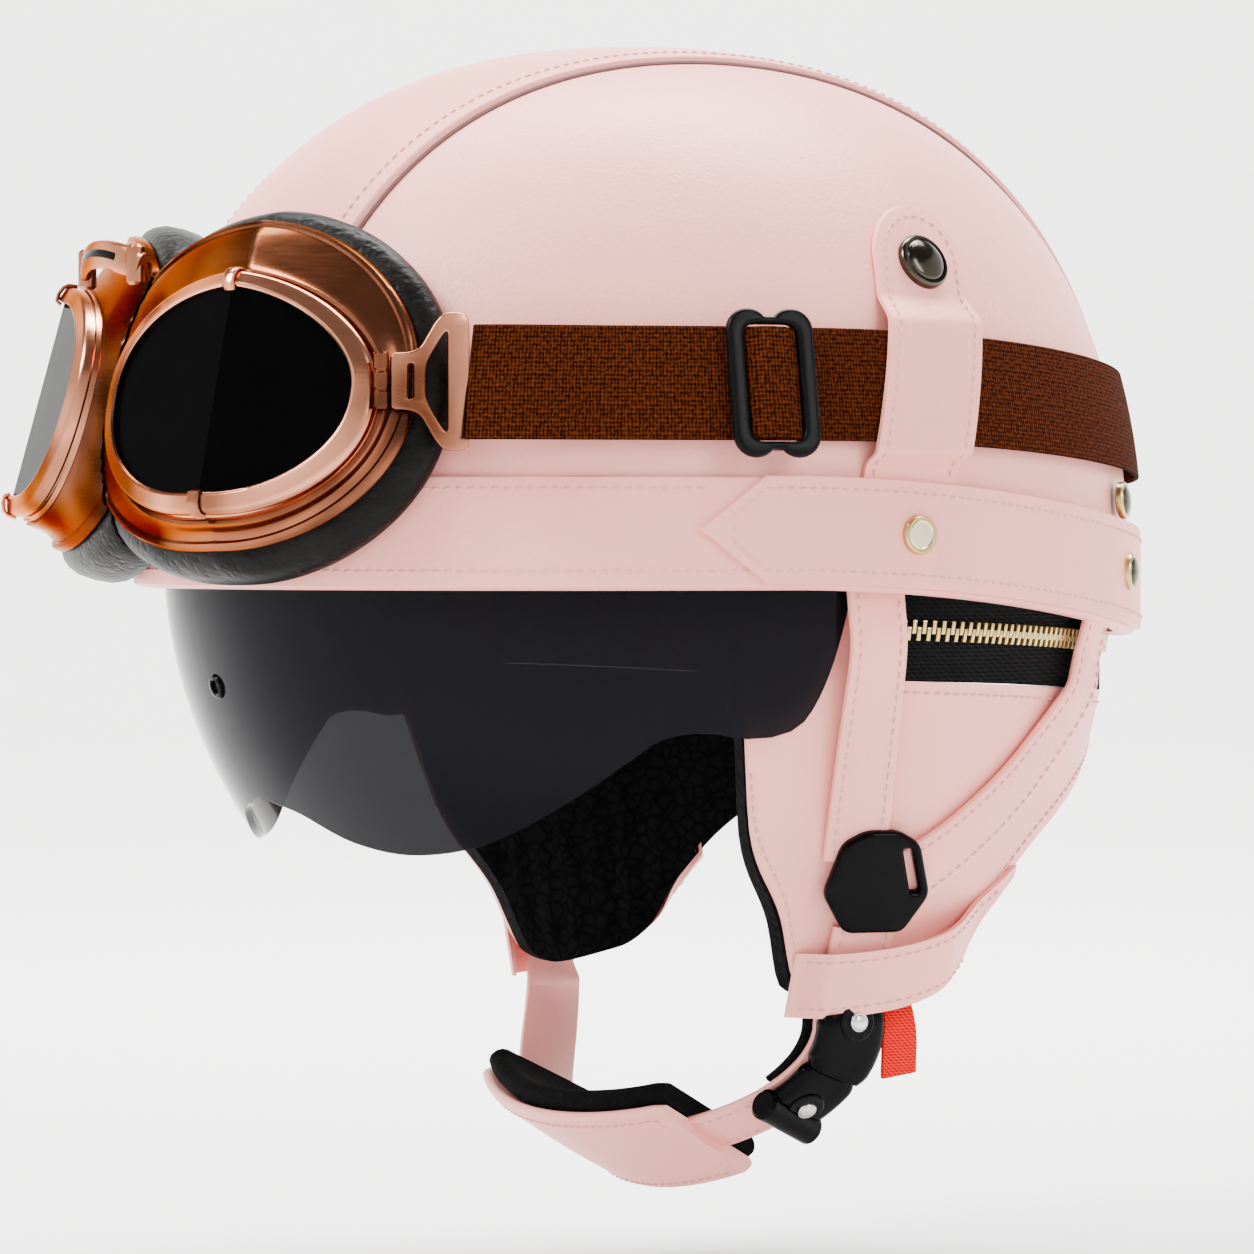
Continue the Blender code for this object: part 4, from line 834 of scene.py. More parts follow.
def make_liner():
    """The foam and its cloth, with a pocket for the visor at the front and seams between its panels."""
    turns = steps(0, 360, 144)[:-1]
    gap = SHELL_WALL + TOUCH + FACET

    def edge(turn):
        return rim_level(turn) + LINER_RAISE

    outer = dome_grid(SHELL_HALF_WIDTH - gap, SHELL_HALF_LENGTH - gap, SHELL_HEIGHT - gap, turns, 36, edge)
    for row in outer:
        for turn, point in zip(turns, row):
            depth = 1 - smooth(*POCKET_BACK, turn_off_front(turn))
            depth *= 1 - smooth(*POCKET_TOP, point.z)
            flat = Vector((point.x, point.y, 0))
            if flat.length > VISOR_POCKET:
                point -= flat.normalized() * VISOR_POCKET * depth
    inner = dome_grid(HEAD_HALF_WIDTH, HEAD_HALF_LENGTH, HEAD_HEIGHT, turns, 36, edge)
    for number, row in enumerate(inner[1:-1], 1):
        up = number / len(inner)
        for turn, point in zip(turns, row):
            seam = min(abs((turn % SEAM_EVERY) - SEAM_EVERY / 2) / SEAM_HALF_ANGLE, 1.0)
            ring = min(abs(up - SEAM_RING) / SEAM_RING_HALF, 1.0)
            groove = SEAM_DEPTH * (1 - min(seam, ring)) * smooth(0, 0.1, up) * (1 - smooth(0.85, 1, up))
            flat = Vector((point.x, point.y, point.z * 0.4))
            point += flat.normalized() * groove
    made = add_piece("liner", dome_bmesh(outer, inner), "black_lining", replaces=LINER_BLOCKS, slot="liner",
                     bevel=1.5 * MM)


def make_crown_panel():
    """The strip of leather over the crown, with a row of stitches and a dark cord of painted shadow along the
    seam on each side.
    """
    def over_crown(across, share, offset, under=0.0, lift=0.0):
        start = panel_angle(across, BAND_HEIGHT - under, offset)
        end = 180 - panel_angle(across, BAND_HEIGHT - REAR_DROP * 0.9 - under, offset)
        return panel_point(across, mix(start, end, share), offset + lift)

    shares = [-1, -0.985, *steps(-0.95, 0.95, 18), 0.985, 1]
    grids = [[[over_crown(s * PANEL_HALF_WIDTH, share, offset, PANEL_UNDER) for s in shares]
              for share in steps(0, 1, 150)] for offset in (PANEL_FACE, -SUNK)]
    leather_piece("crown_panel_leather", grid_bmesh(*grids), "crown_panel", bevel=0.7 * MM)
    for side in (LEFT, RIGHT):
        across = side * (PANEL_HALF_WIDTH - PANEL_STITCH_INSET)
        stitch([over_crown(across, share, PANEL_FACE) for share in steps(0, 1, 260)])
        # A dark cord in the corner beside the panel's edge: painted shadow of the seam.
        edge = side * (PANEL_HALF_WIDTH + SEAM_ASIDE)
        groove = [over_crown(edge, share, 0, lift=SEAM_LIFT) for share in steps(0, 1, 200)]
        add_piece(f"panel_seam_{SIDE_NAMES[side]}", tube_bmesh(groove, SEAM_RADIUS, 6), "seam",
                  slot="pink_leather")


def tube_bmesh(line, radius, sides=8, closed=False):
    """A round cord along points."""
    sections = []
    count = len(line)
    for k, point in enumerate(line):
        before = line[k - 1] if closed or k else line[0]
        after = line[(k + 1) % count] if closed or k < count - 1 else line[-1]
        along = (after - before).normalized()
        hint = Vector((0, 0, 1)) if abs(along.z) < 0.95 else Vector((1, 0, 0))
        one = along.cross(hint).normalized()
        other = along.cross(one)
        sections.append([point + one * p.x + other * p.y for p in circle(radius, 0, sides)])
    return loft_bmesh(sections, closed)


def make_brim():
    """The band round the rim: flat outside, rolled under the shell's edge."""
    turns = steps(0, 360, 240)[:-1]
    roll = [(BRIM_FACE, rise) for rise in (BAND_HEIGHT - 0.5 * MM, 22 * MM, 16 * MM, 10 * MM, 5 * MM, 1 * MM)]
    roll = [(BRIM_FACE - 0.7 * MM, BAND_HEIGHT), *roll]
    inside = -SHELL_WALL - 0.5 * MM
    for angle in (20, 45, 70, 90, 110, 135, 160):
        turn = math.radians(angle)
        roll.append((mix(BRIM_FACE, inside, (1 - math.cos(turn)) / 2), -1.6 * MM * math.sin(turn)))
    roll += [(inside, 2 * MM), (inside + 0.1 * MM, 5 * MM), (inside + 1 * MM, 5 * MM),
             (inside + 1.5 * MM, 1 * MM), (-0.6 * MM, 1 * MM), (-0.4 * MM, 14 * MM), (-0.4 * MM, BAND_HEIGHT)]
    sections = [[shell_point(t, rim_level(t) + rise, offset) for offset, rise in roll] for t in turns]
    leather_piece("brim_leather", loft_bmesh(sections, closed=True), "brim_band")
    stitch([shell_point(t, rim_level(t) + STITCH_INSET, BRIM_FACE) for t in steps(0, 360, 400)[:-1]], True)
    stitch([shell_point(t, rim_level(t) + BAND_HEIGHT - STITCH_INSET, BRIM_FACE)
            for t in steps(-ARROW_TURN, ARROW_TURN, 180)])


def make_rear_band():
    """The band round the back, pointed at both ends."""
    tip, full = ARROW_TURN, ARROW_TURN + ARROW_LENGTH
    turns = [*steps(tip, full, 8), *steps(full, 360 - full, 150)[1:-1], *steps(360 - full, 360 - tip, 8)]

    def half_height(turn):
        off = turn_off_front(turn)
        return BAND_HEIGHT / 2 * min(1.0, max(0.04, (off - tip) / ARROW_LENGTH))

    def edge_point(turn, share, inset, offset):
        middle = rim_level(turn) + BAND_HEIGHT / 2
        return shell_point(turn, middle + share * (half_height(turn) - inset), offset)

    grids = [[[edge_point(t, share, 0, offset) for t in turns] for share in (-1, -0.6, 0, 0.6, 1)]
             for offset in (REAR_FACE, BRIM_FACE - 0.2 * MM)]
    leather_piece("rear_band_leather", grid_bmesh(*grids), "rear_band", bevel=LEATHER_EASE)
    lean = STITCH_INSET * 2.2 / (SHELL_HALF_WIDTH * math.radians(1))
    inner = [t for t in steps(tip + lean, 360 - tip - lean, 360) if half_height(t) > STITCH_INSET]
    upper, lower = ([edge_point(t, hand, STITCH_INSET, REAR_FACE) for t in inner] for hand in (1, -1))
    stitch(upper + lower[::-1], True)


def make_tab(side):
    """The tab that holds the elastic strap down, its top end round."""
    word = SIDE_NAMES[side]
    bottom = BAND_HEIGHT - 3 * MM
    shoulder = TAB_TOP - TAB_WIDTH / 2

    def tab_point(level, share, inset, lift):
        over = max(0.0, level - shoulder)
        half = math.sqrt(max(0.0, (TAB_WIDTH / 2 - inset) ** 2 - over**2))
        middle = TAB_TURN + TAB_LEAN * (level - BAND_HEIGHT) / (TAB_TOP - BAND_HEIGHT)
        per_degree = (shell_point(middle + 0.5, level) - shell_point(middle - 0.5, level)).length
        return shell_point(middle + share * half / per_degree, level, max(tab_offset(level), 0.1 * MM) + lift)

    angles = (*range(6, 79, 8), 84, 88)
    levels = steps(bottom, shoulder, 60)
    levels += [shoulder + TAB_WIDTH / 2 * math.sin(math.radians(a)) for a in angles]
    shares = [-1, -0.9, -0.6, -0.3, 0, 0.3, 0.6, 0.9, 1]
    grids = [[mirrored([tab_point(level, s, 0, lift) for s in shares], side) for level in levels]
             for lift in (TAB_THICK, 0)]
    leather_piece(f"tab_leather_{word}", grid_bmesh(*grids), f"keeper_tab_{word}", bevel=LEATHER_EASE)
    inset = TAB_STITCH_INSET
    rise = steps(BAND_HEIGHT + 1 * MM, shoulder, 40)
    rise += [shoulder + (TAB_WIDTH / 2 - inset) * math.sin(math.radians(a)) for a in steps(4, 90, 14)]
    left, right = ([tab_point(level, hand, inset, TAB_THICK) for level in rise] for hand in (-1, 1))
    stitch(mirrored(left + right[::-1], side))


def on_shell(turn, level, offset, side):
    point = shell_point(turn, level, offset)
    normal = surface_normal(shell_point, turn, level, offset)
    return placed(*mirrored((point, normal), side))


def stud(name, place, size, rim_finish, cap_finish, node, dished=False, slot="dark_metal"):
    """A snap or rivet, of a radius and a height: a rolled rim with its cap set in."""
    radius, height = size
    ring = [(radius * 0.86, -0.6 * MM), (radius, -0.2 * MM), (radius, height * 0.3),
            (radius * 0.97, height * 0.5), (radius * 0.9, height * 0.62), (radius * 0.8, height * 0.6),
            (radius * 0.76, height * 0.4)]
    add_piece(f"{name}_rim", profile_bmesh(ring, place, ring=True), rim_finish, slot=slot, replaces=[node])
    if dished:
        cap = [(radius * 0.78, height * 0.2), (radius * 0.78, height * 0.5), (radius * 0.7, height * 0.62),
               (radius * 0.64, height * 0.5), (radius * 0.3, height * 0.55), (0, height * 0.56)]
    else:
        cap = [(radius * 0.78, height * 0.2), (radius * 0.78, height * 0.52)]
        for turn in (math.radians(angle) for angle in (15, 30, 45, 60, 75)):
            cap.append((radius * 0.78 * math.cos(turn), height * (0.52 + 0.46 * math.sin(turn))))
        cap.append((0, height))
    add_piece(f"{name}_cap", profile_bmesh(cap, place), cap_finish, slot=slot)


def make_studs(side):
    word = SIDE_NAMES[side]
    share = (SNAP_LEVEL - BAND_HEIGHT) / (TAB_TOP - BAND_HEIGHT)
    place = on_shell(TAB_TURN + TAB_LEAN * share, SNAP_LEVEL, tab_offset(SNAP_LEVEL) + TAB_THICK, side)
    stud(f"big_snap_{word}", place, SNAP_SIZE, "dark_metal", "dark_metal", f"keeper_snap_{word}")
    place = on_shell(BAND_RIVET_TURN, rim_level(BAND_RIVET_TURN) + BAND_HEIGHT / 2, REAR_FACE, side)
    stud(f"brass_rivet_{word}", place, RIVET_SIZE, "brass", "pale_brass", f"band_rivet_{word}", True, "brass")
    place = on_shell(REAR_STUD_TURN, rim_level(REAR_STUD_TURN) + BAND_HEIGHT / 2, REAR_FACE, side)
    stud(f"low_snap_{word}", place, RIVET_SIZE, "brass", "dark_metal", f"rear_stud_low_{word}")
    high = rim_level(REAR_STUD_TURN) + BAND_HEIGHT + RIVET_SIZE[0] + LOOSE
    place = on_shell(REAR_STUD_TURN, high, HIGH_STUD_STAND, side)
    stud(f"high_snap_{word}", place, RIVET_SIZE, "brass", "dark_metal", f"rear_stud_high_{word}")


# Elastic strap

def strap_band(name, first, last, count, rise, node):
    turns = steps(first, last, count)
    shares = (-1, -0.97, -0.6, -0.2, 0.2, 0.6, 0.97, 1)
    grids = [[[shell_point(t, strap_level(t) + s * STRAP_HEIGHT / 2, strap_stand(t) + lift) for t in turns]
              for s in shares] for lift in (rise + STRAP_THICK, rise)]
    add_piece(name, grid_bmesh(*grids, uv=True), "brown_elastic", replaces=[node], slot="elastic",
              bevel=0.4 * MM)


def make_elastic():
    strap_band("elastic_main", STRAP_TURN, 360 - STRAP_TURN, 260, 0, "elastic_strap")
    strap_band("elastic_doubled", STRAP_TURN, SLIDER_TURN + 1, 50, STRAP_THICK + 0.1 * MM, "strap_turnback")


def make_slider():
    """The ring slider, each end in two lobes, and the strap's loop over its middle."""
    level = strap_level(SLIDER_TURN)
    normal = surface_normal(shell_point, SLIDER_TURN, level)
    offset = STRAP_OFFSET + 2 * STRAP_THICK + 2 * TOUCH + SLIDER_THICK / 2
    along = normal.cross(Vector((0, 0, 1))).normalized() * -1
    up = normal.cross(along)
    place = axes_place(along, up, normal, shell_point(SLIDER_TURN, level, offset))
    lobe, straight = SLIDER_WIDTH / 4, SLIDER_HEIGHT / 2 - SLIDER_WIDTH / 4

    outline = []
    for end, centre, first in ((1, lobe, 0), (1, -lobe, 40), (-1, -lobe, 180), (-1, lobe, 220)):
        for turn in (math.radians(angle) for angle in steps(first, first + 140, 12)):
            outline.append((centre + lobe * math.cos(turn), end * straight + lobe * math.sin(turn)))
    wide, tall = SLIDER_WINDOW
    window = rounded(both_edges([(-wide, -tall), (wide, -tall)]), 3.5 * MM)
    plate_piece("slider_ring", outline, [window], SLIDER_THICK, place, "black_satin", bevel=1.1 * MM,
                replaces=["strap_slider"], slot="black_plastic")
    line, normals = [], []
    for k in range(25):
        angle = math.radians(mix(20, 160, k / 24))
        line.append(place @ Vector((-math.cos(angle) * 6.6 * MM, 0, math.sin(angle) * 2.6 * MM - 1.2 * MM)))
        normals.append(place.to_3x3() @ Vector((-math.cos(angle) * 0.5, 0, 1)))
    sections = strap_sections(line, normals, STRAP_HEIGHT, STRAP_THICK)
    add_piece("elastic_over_bar", loft_bmesh(sections, uv=True), "brown_elastic", slot="elastic")


# Goggles, made in an eyecup's own frame: x to the temple, y up, z forward

def eyecup_place(side):
    turn, lean = math.radians(GOGGLE_TURN), math.radians(GOGGLE_LEAN)
    forward = Vector((math.sin(turn) * math.cos(lean), -math.cos(turn) * math.cos(lean), math.sin(lean)))
    out = Vector((math.cos(turn), math.sin(turn), 0))
    up = forward.cross(out)
    place = axes_place(out, up, forward, Vector((GOGGLE_OUT, -GOGGLE_FORWARD, GOGGLE_LEVEL)))
    return Matrix.Diagonal((side, 1, 1, 1)) @ place


def eyecup_outline(angle, grow=0.0):
    turn = math.radians(angle)
    across, up = math.cos(turn), math.sin(turn)
    width = RIM_OUTER if across > 0 else RIM_INNER
    squareness = 2.25
    reach = (abs(across) ** squareness + abs(up) ** squareness) ** (-1 / squareness)
    tall = RIM_HALF_HEIGHT * (1 - 0.16 * max(0.0, across * reach) ** 1.5)
    return Vector((across * reach * (width + grow), up * reach * (tall + grow), 0))


def lens_outline(angle, grow=0.0):
    """The lens's outline: shorter at the top and at the nose than the cup behind it."""
    point = eyecup_outline(angle, grow)
    if point.y > 0:
        point.y *= 1 - LENS_DROP / RIM_HALF_HEIGHT
    if point.x < 0:
        point.x *= 1 - LENS_DROP / RIM_INNER
    return point


def folded(point, depth):
    fall = math.tan(math.radians(FOLD_OUT if point.x > 0 else FOLD_IN))
    return Vector((point.x, point.y, depth - abs(point.x) * fall))


def lens_point(outline, depth=0.0):
    """A point of the lens or its rim, which sit low and towards the temple on their cup."""
    return folded(outline, depth) + LENS_SHIFT


def depth_to_shell(point, forward, offset):
    low, high = 0.0, 80 * MM
    for _ in range(30):
        middle = (low + high) / 2
        probe = point - forward * middle
        plan = math.hypot(probe.x / (SHELL_HALF_WIDTH + offset), probe.y / (SHELL_HALF_LENGTH + offset))
        rise = max(0.0, probe.z) / (SHELL_HEIGHT + offset)
        if plan**SHELL_FULLNESS + rise**SHELL_FULLNESS < 1:
            high = middle
        else:
            low = middle
    return low


def kept_aside(point, side):
    if side * point.x >= NOSE_GAP:
        return point
    forward = Vector((0, -1, 0))
    start = Vector((side * NOSE_GAP, point.y, point.z)) + forward * 40 * MM
    surface = start - forward * depth_to_shell(start, forward, PAD_REST)
    return Vector((start.x, min(point.y, surface.y), point.z))


def eyecup_ring(name, side, rows, finish, count=168, **facts):
    """A ring from rows of outward growth, share of the room to the shell, and depth added."""
    place = eyecup_place(side)
    forward = (place.to_3x3() @ Vector((0, 0, 1))).normalized()
    sections = []
    for angle in steps(0, 360, count)[:-1]:
        section = []
        rooms = {}
        for grow, share, added in rows:
            back = smooth(RIM_BACK, CUP_BACK, share)
            rear = folded(eyecup_outline(angle, grow), 0)
            point = place @ lens_point(lens_outline(angle, grow)).lerp(rear, back)
            if (grow, back) not in rooms:
                rooms[grow, back] = depth_to_shell(point, forward, PAD_REST)
            section.append(kept_aside(point - forward * (rooms[grow, back] * share + added), side))
        sections.append(section)
    return add_piece(name, loft_bmesh(sections, closed=True), finish, **facts)


def make_lens(side):
    """Two flat panes that meet at the crease."""
    place = eyecup_place(side)
    angles = steps(0, 360, 120)[:-1]
    shape = bmesh.new()
    edges = []
    outline = [lens_outline(a, -RIM_WIDTH + 0.4 * MM) for a in angles]
    for depth in (-1.6 * MM, -3.6 * MM):
        rings = []
        for share in (1, 0.97, 0.7, 0.4, 0.15):
            rings.append([shape.verts.new(place @ lens_point(corner * share, depth)) for corner in outline])
        rings.append([shape.verts.new(place @ lens_point(Vector((0, 0, 0)), depth))])
        join_rings(shape, rings)
        edges.append(rings[0])
    join_rings(shape, edges)
    add_piece(f"lens_{SIDE_NAMES[side]}", shape, "dark_lens", replaces=[f"goggle_lens_{SIDE_NAMES[side]}"],
              slot="dark_lens", angle=8)


def make_rim(side):
    """The lens's flat frame, rolled at its inner and outer edges."""
    word = SIDE_NAMES[side]
    rim = [(-RIM_WIDTH, RIM_BACK, 0), (-RIM_WIDTH, 0, 1.4 * MM), (-RIM_WIDTH + 0.1 * MM, 0, 0.5 * MM),
           (-RIM_WIDTH + 0.6 * MM, 0, 0), (-RIM_WIDTH + 1.1 * MM, 0, -0.1 * MM),
           (-RIM_WIDTH + 1.5 * MM, 0, 0.2 * MM), (-1.2 * MM, 0, 0.9 * MM), (-0.5 * MM, 0, 1.3 * MM),
           (-0.1 * MM, 0, 1.9 * MM), (0, 0, 2.6 * MM),
           (0, 0, 4 * MM), (-0.5 * MM, 0, 4.6 * MM), (-0.5 * MM, 0, 5.4 * MM), (0.6 * MM, 0, 6.2 * MM),
           (0.6 * MM, RIM_BACK, -1.2 * MM), (0, RIM_BACK, 0)]
    eyecup_ring(f"rim_{word}", side, rim, "bright_copper", replaces=[f"lens_rim_{word}"], slot="copper")


def make_cup(side):
    """The flared cup behind the frame, its rear edge rolled."""
    word = SIDE_NAMES[side]
    cup = [(-CUP_WALL, RIM_BACK, 0.1 * MM)]
    for share in steps(0, 1, 8):
        cup.append((mix(CUP_WALL, CUP_FLARE - 1.2 * MM, share**1.35), mix(RIM_BACK, CUP_BACK, share),
                    mix(0.1 * MM, -2.6 * MM, share)))
    cup += [(CUP_FLARE - 0.5 * MM, CUP_BACK, -2.9 * MM), (CUP_FLARE + 0.4 * MM, CUP_BACK, -2.6 * MM),
            (CUP_FLARE + 0.9 * MM, CUP_BACK, -1.6 * MM), (CUP_FLARE + 0.9 * MM, CUP_BACK, -0.6 * MM),
            (CUP_FLARE + 0.3 * MM, CUP_BACK, 0), (CUP_FLARE - 2 * CUP_WALL, CUP_BACK, 0)]
    eyecup_ring(f"cup_{word}", side, cup, "dark_copper", replaces=[f"eyecup_{word}"], slot="copper")


def make_pad(side):
    """The stuffed leather pad between the cup and the bowl."""
    word = SIDE_NAMES[side]
    spread = CUP_FLARE + PAD_SPREAD
    pad = [(CUP_FLARE - PAD_WIDTH, CUP_BACK, TOUCH), (CUP_FLARE - 1 * MM, CUP_BACK, TOUCH),
           (CUP_FLARE + 1 * MM, CUP_BACK, 0.2 * MM), (CUP_FLARE + 2.8 * MM, CUP_BACK + 0.02, 0.2 * MM),
           (spread - 0.6 * MM, CUP_BACK + 0.07, 0), (spread + 0.6 * MM, 0.64, 0),
           (spread + 0.9 * MM, 0.76, 0), (spread + 0.5 * MM, 0.88, 0), (spread - 0.6 * MM, 0.96, 0),
           (spread - 2.4 * MM, 1, 0),
           (CUP_FLARE - 4 * MM, 1, 0), (CUP_FLARE - PAD_WIDTH, 0.97, 0)]
    made = eyecup_ring(f"pad_{word}", side, pad, "black_leather", replaces=[f"goggle_pad_{word}"],
                       slot="black_leather")


def make_clips(side):
    """The little clips at the crease, top and bottom of the rim."""
    place = eyecup_place(side)
    face = place.to_3x3() @ Vector((0, 0, 1))
    for number, (angle, up) in enumerate(((90, 1), (270, -1)), 1):
        middle = lens_outline(angle) + LENS_SHIFT
        line = [place @ Vector((middle.x, middle.y - up * rise, depth)) for rise, depth in (
            (RIM_WIDTH + 0.2 * MM, -0.9 * MM), (RIM_WIDTH - 0.5 * MM, 0.4 * MM), (RIM_WIDTH / 2, 0.4 * MM),
            (0.6 * MM, -0.4 * MM), (-0.3 * MM, -1.6 * MM), (-0.6 * MM, -4 * MM))]
        rise = place.to_3x3() @ Vector((0, up, 0))
        normals = [face, face, face, (face + rise * 0.6).normalized(), (face * 0.4 + rise).normalized(), rise]
        add_piece(f"rim_clip_{SIDE_NAMES[side]}_{number}",
                  loft_bmesh(strap_sections(line, normals, CLIP_WIDTH, CLIP_THICK)), "bright_copper",
                  slot="copper")


def hook_frame():
    """The left hook's place at the strap, its length to the hinge, and the hinge's middle."""
    start = shell_point(STRAP_TURN, STRAP_LEVEL, HOOK_STAND + STRAP_THICK + TOUCH / 2)
    hinge_at = folded(eyecup_outline(0, HINGE_RADIUS + TOUCH), 0)
    rim = eyecup_place(LEFT) @ (hinge_at + Vector((LENS_SHIFT.x, 0, 0)))
    along = Vector((rim.x - start.x, rim.y - start.y, 0))
    length = along.length - HINGE_RADIUS - TOUCH - LOOSE
    along.normalize()
    start += along * LOOSE
    up = Vector((0, 0, 1))
    return axes_place(along, up, along.cross(up), start), length, rim


def make_hook(side):
    """The pierced hook that joins the strap to the eyecup, and its hinge."""
    word = SIDE_NAMES[side]
    place, length, rim = hook_frame()
    half, neck = HOOK_MOUTH / 2, HOOK_NECK / 2
    mouth = HOOK_BAR + HOOK_SLIT
    outline = rounded(both_edges([
        (-0.4 * MM, -half), (mouth + 1 * MM, -half), (length * 0.42, -half * 0.86),
        (length * 0.62, -neck - 1 * MM), (length * 0.8, -neck), (length, -neck)]), 3 * MM)
    window = rounded(both_edges([
        (mouth, -half * 0.78), (length * 0.40, -half * 0.55), (length * 0.55, -neck * 0.6)]), 2.2 * MM)
    slot = rounded(both_edges([(length * 0.70, -neck * 0.62), (length * 0.78, -neck * 0.62)]), 0.9 * MM)
    mirror = Matrix.Diagonal((side, 1, 1, 1))
    plate_piece(f"hook_{word}", outline, [window, slot], HOOK_THICK, mirror @ place, "bright_copper",
                bevel=0.5 * MM, replaces=[f"goggle_hook_{word}"], slot="copper")
    profile = [(0, -HOOK_NECK / 2)]
    for low, high in ((-7, -2.5), (-2.2, 2.2), (2.5, 7)):
        profile += [(HINGE_RADIUS * 0.85, low * MM), (HINGE_RADIUS, (low + 0.4) * MM),
                    (HINGE_RADIUS, (high - 0.4) * MM), (HINGE_RADIUS * 0.85, high * MM)]
    profile.append((0, HOOK_NECK / 2))
    add_piece(f"hinge_{word}", profile_bmesh(profile, Matrix.Translation(mirrored([rim], side)[0]), 24),
              "dark_copper", replaces=[f"hook_hinge_{word}"], slot="copper")


def make_bridge():
    """The nose linkage: a bar with a black strip along it as the painted shadow of its slot, and barrels at
    its ends and below.
    """
    line = [Vector((BRIDGE_REACH * s, -BRIDGE_FORWARD + BRIDGE_BOW * s**2, BRIDGE_LEVEL - BRIDGE_BOW * s**2))
            for s in steps(-1, 1, 24)]
    normal = Vector((0, -1, 0.2)).normalized()
    bar = strap_sections(line, [normal] * len(line), BRIDGE_HEIGHT, BRIDGE_THICK)
    add_piece("nose_bridge", loft_bmesh(bar), "bright_copper", replaces=["goggle_bridge"], slot="copper")
    # A black strip on the bar's face: painted shadow standing for the slot.
    slot = [p + normal * BRIDGE_THICK * 0.42 for p in line[5:20]]
    add_piece("nose_bridge_slot", loft_bmesh(strap_sections(slot, [normal] * len(slot), 2.2 * MM, 0.9 * MM)),
              "gloss_black", slot="copper")
    barrel = both_edges([(0, -5.2 * MM), (1.6 * MM, -5.2 * MM), (2.4 * MM, -4.4 * MM)])
    forward, level = -BRIDGE_FORWARD + BRIDGE_BOW - 0.5 * MM, BRIDGE_LEVEL - BRIDGE_BOW * 0.8
    for side in (LEFT, RIGHT):
        place = Matrix.Translation((side * (BRIDGE_REACH - 2 * MM), forward, level))
        add_piece(f"bridge_barrel_{SIDE_NAMES[side]}", profile_bmesh(barrel, place, 24), "bright_copper",
                  slot="copper")


# Sun visor

def visor_point(share, degrees, shrink):
    width, reach = VISOR_HALF_WIDTH - shrink, VISOR_REACH - shrink
    radius = reach * max(0.0, 1 - abs(share) ** VISOR_FULLNESS) ** (1 / VISOR_FULLNESS)
    angle = math.radians(degrees)
    return Vector((share * width, PIVOT_BACK - radius * math.cos(angle), PIVOT_UP + radius * math.sin(angle)))


def make_visor():
    """The curved smoke shield with its side arms, as one wall."""
    half = [math.sin(math.radians(a)) for a in steps(0, 74, 50)]
    half += [mix(half[-1], 0.999, share) for share in (0.15, 0.3, 0.45, 0.6, 0.72, 0.82, 0.9, 0.96, 1)]
    shares = [-s for s in reversed(half[1:])] + half
    grids = [[[visor_point(s, mix(VISOR_TOP, -read_table(VISOR_EDGE, abs(s)), down), shrink) for s in shares]
              for down in (0, 0.02, *steps(0.06, 0.94, 22), 0.98, 1)] for shrink in (0, VISOR_WALL)]
    add_piece("visor_shield", grid_bmesh(*grids), "smoke_visor", body="visor", replaces=["sun_visor"],
              slot="smoke_visor", bevel=0.5 * MM)


def make_visor_ring():
    """The small black ring at the middle of the shield."""
    ring = [(KNOB_RADIUS * 0.55, 0.2 * MM), (KNOB_RADIUS * 0.55, 0.7 * MM), (KNOB_RADIUS * 0.7, 0.95 * MM),
            (KNOB_RADIUS * 0.9, 0.8 * MM), (KNOB_RADIUS, 0.4 * MM), (KNOB_RADIUS, 0)]
    knob = visor_point(0, -math.degrees(math.asin((PIVOT_UP - KNOB_LEVEL) / VISOR_REACH)), 0)
    place = placed(knob, Vector((0, -1, -0.27)).normalized())
    add_piece("visor_ring", profile_bmesh(ring, place, 32, True), "gloss_black", body="visor",
              replaces=["visor_knob"], slot="black_plastic")


def make_visor_pivot(side):
    """A boss on the shield's arm, turning on a headed pin in the bowl's wall."""
    word = SIDE_NAMES[side]
    place = placed(Vector((0, PIVOT_BACK, PIVOT_UP)), Vector((side, 0, 0)))
    base, bore = VISOR_HALF_WIDTH - VISOR_WALL, PIVOT_RADIUS + LOOSE
    ear = [(bore, base + 0.3 * MM), (VISOR_EAR - 0.4 * MM, base), (VISOR_EAR, base + 0.4 * MM),
           (VISOR_EAR, base + 1.6 * MM), (VISOR_EAR - 0.4 * MM, base + 2 * MM), (bore, base + 1.7 * MM)]
    add_piece(f"visor_boss_{word}", profile_bmesh(ear, place, 40, True), "smoke_visor", body="visor",
              slot="smoke_visor")
    head, wall = base - LOOSE, SHELL_HALF_WIDTH - SHELL_WALL - 1.3 * MM
    pin = [(0, head - 1.5 * MM), (PIVOT_HEAD - 0.5 * MM, head - 1.5 * MM), (PIVOT_HEAD, head - 1 * MM),
           (PIVOT_HEAD, head), (PIVOT_RADIUS, head), (PIVOT_RADIUS, wall), (0, wall)]
    add_piece(f"pivot_{word}", profile_bmesh(pin, place, 40), "dark_metal", replaces=[f"visor_pivot_{word}"],
              slot="dark_metal")


# Zip, curtain and lining

def make_zip():
    """The woven tape and its two rows of teeth."""
    turns = steps(ZIP_START, 360 - ZIP_START, 180)

    def tape_point(turn, share, offset):
        top = min(rim_level(turn) + LINER_RAISE - LOOSE - TOUCH, zip_level(turn) + TAPE_ABOVE)
        return curtain_point(turn, mix(tape_bottom(turn), top, share), offset)

    grids = [[[tape_point(t, share, offset) for t in turns] for share in steps(0, 1, 10)]
             for offset in (0, -TAPE_THICK)]
    add_piece("zip_cloth_tape", grid_bmesh(*grids), "zip_cloth", replaces=["zip_tape"], slot="zip_tape")
    turns = steps(ZIP_START, 360 - ZIP_START, 500)
    line = [(curtain_point(t, zip_level(t), 0.2 * MM), surface_normal(curtain_point, t, zip_level(t)))
            for t in turns]
    teeth = sewn("zip_teeth_row", [(line, False)], ZIP_PITCH, tooth_mesh, "brass")
    settle(teeth, replaces=["zip_teeth"])


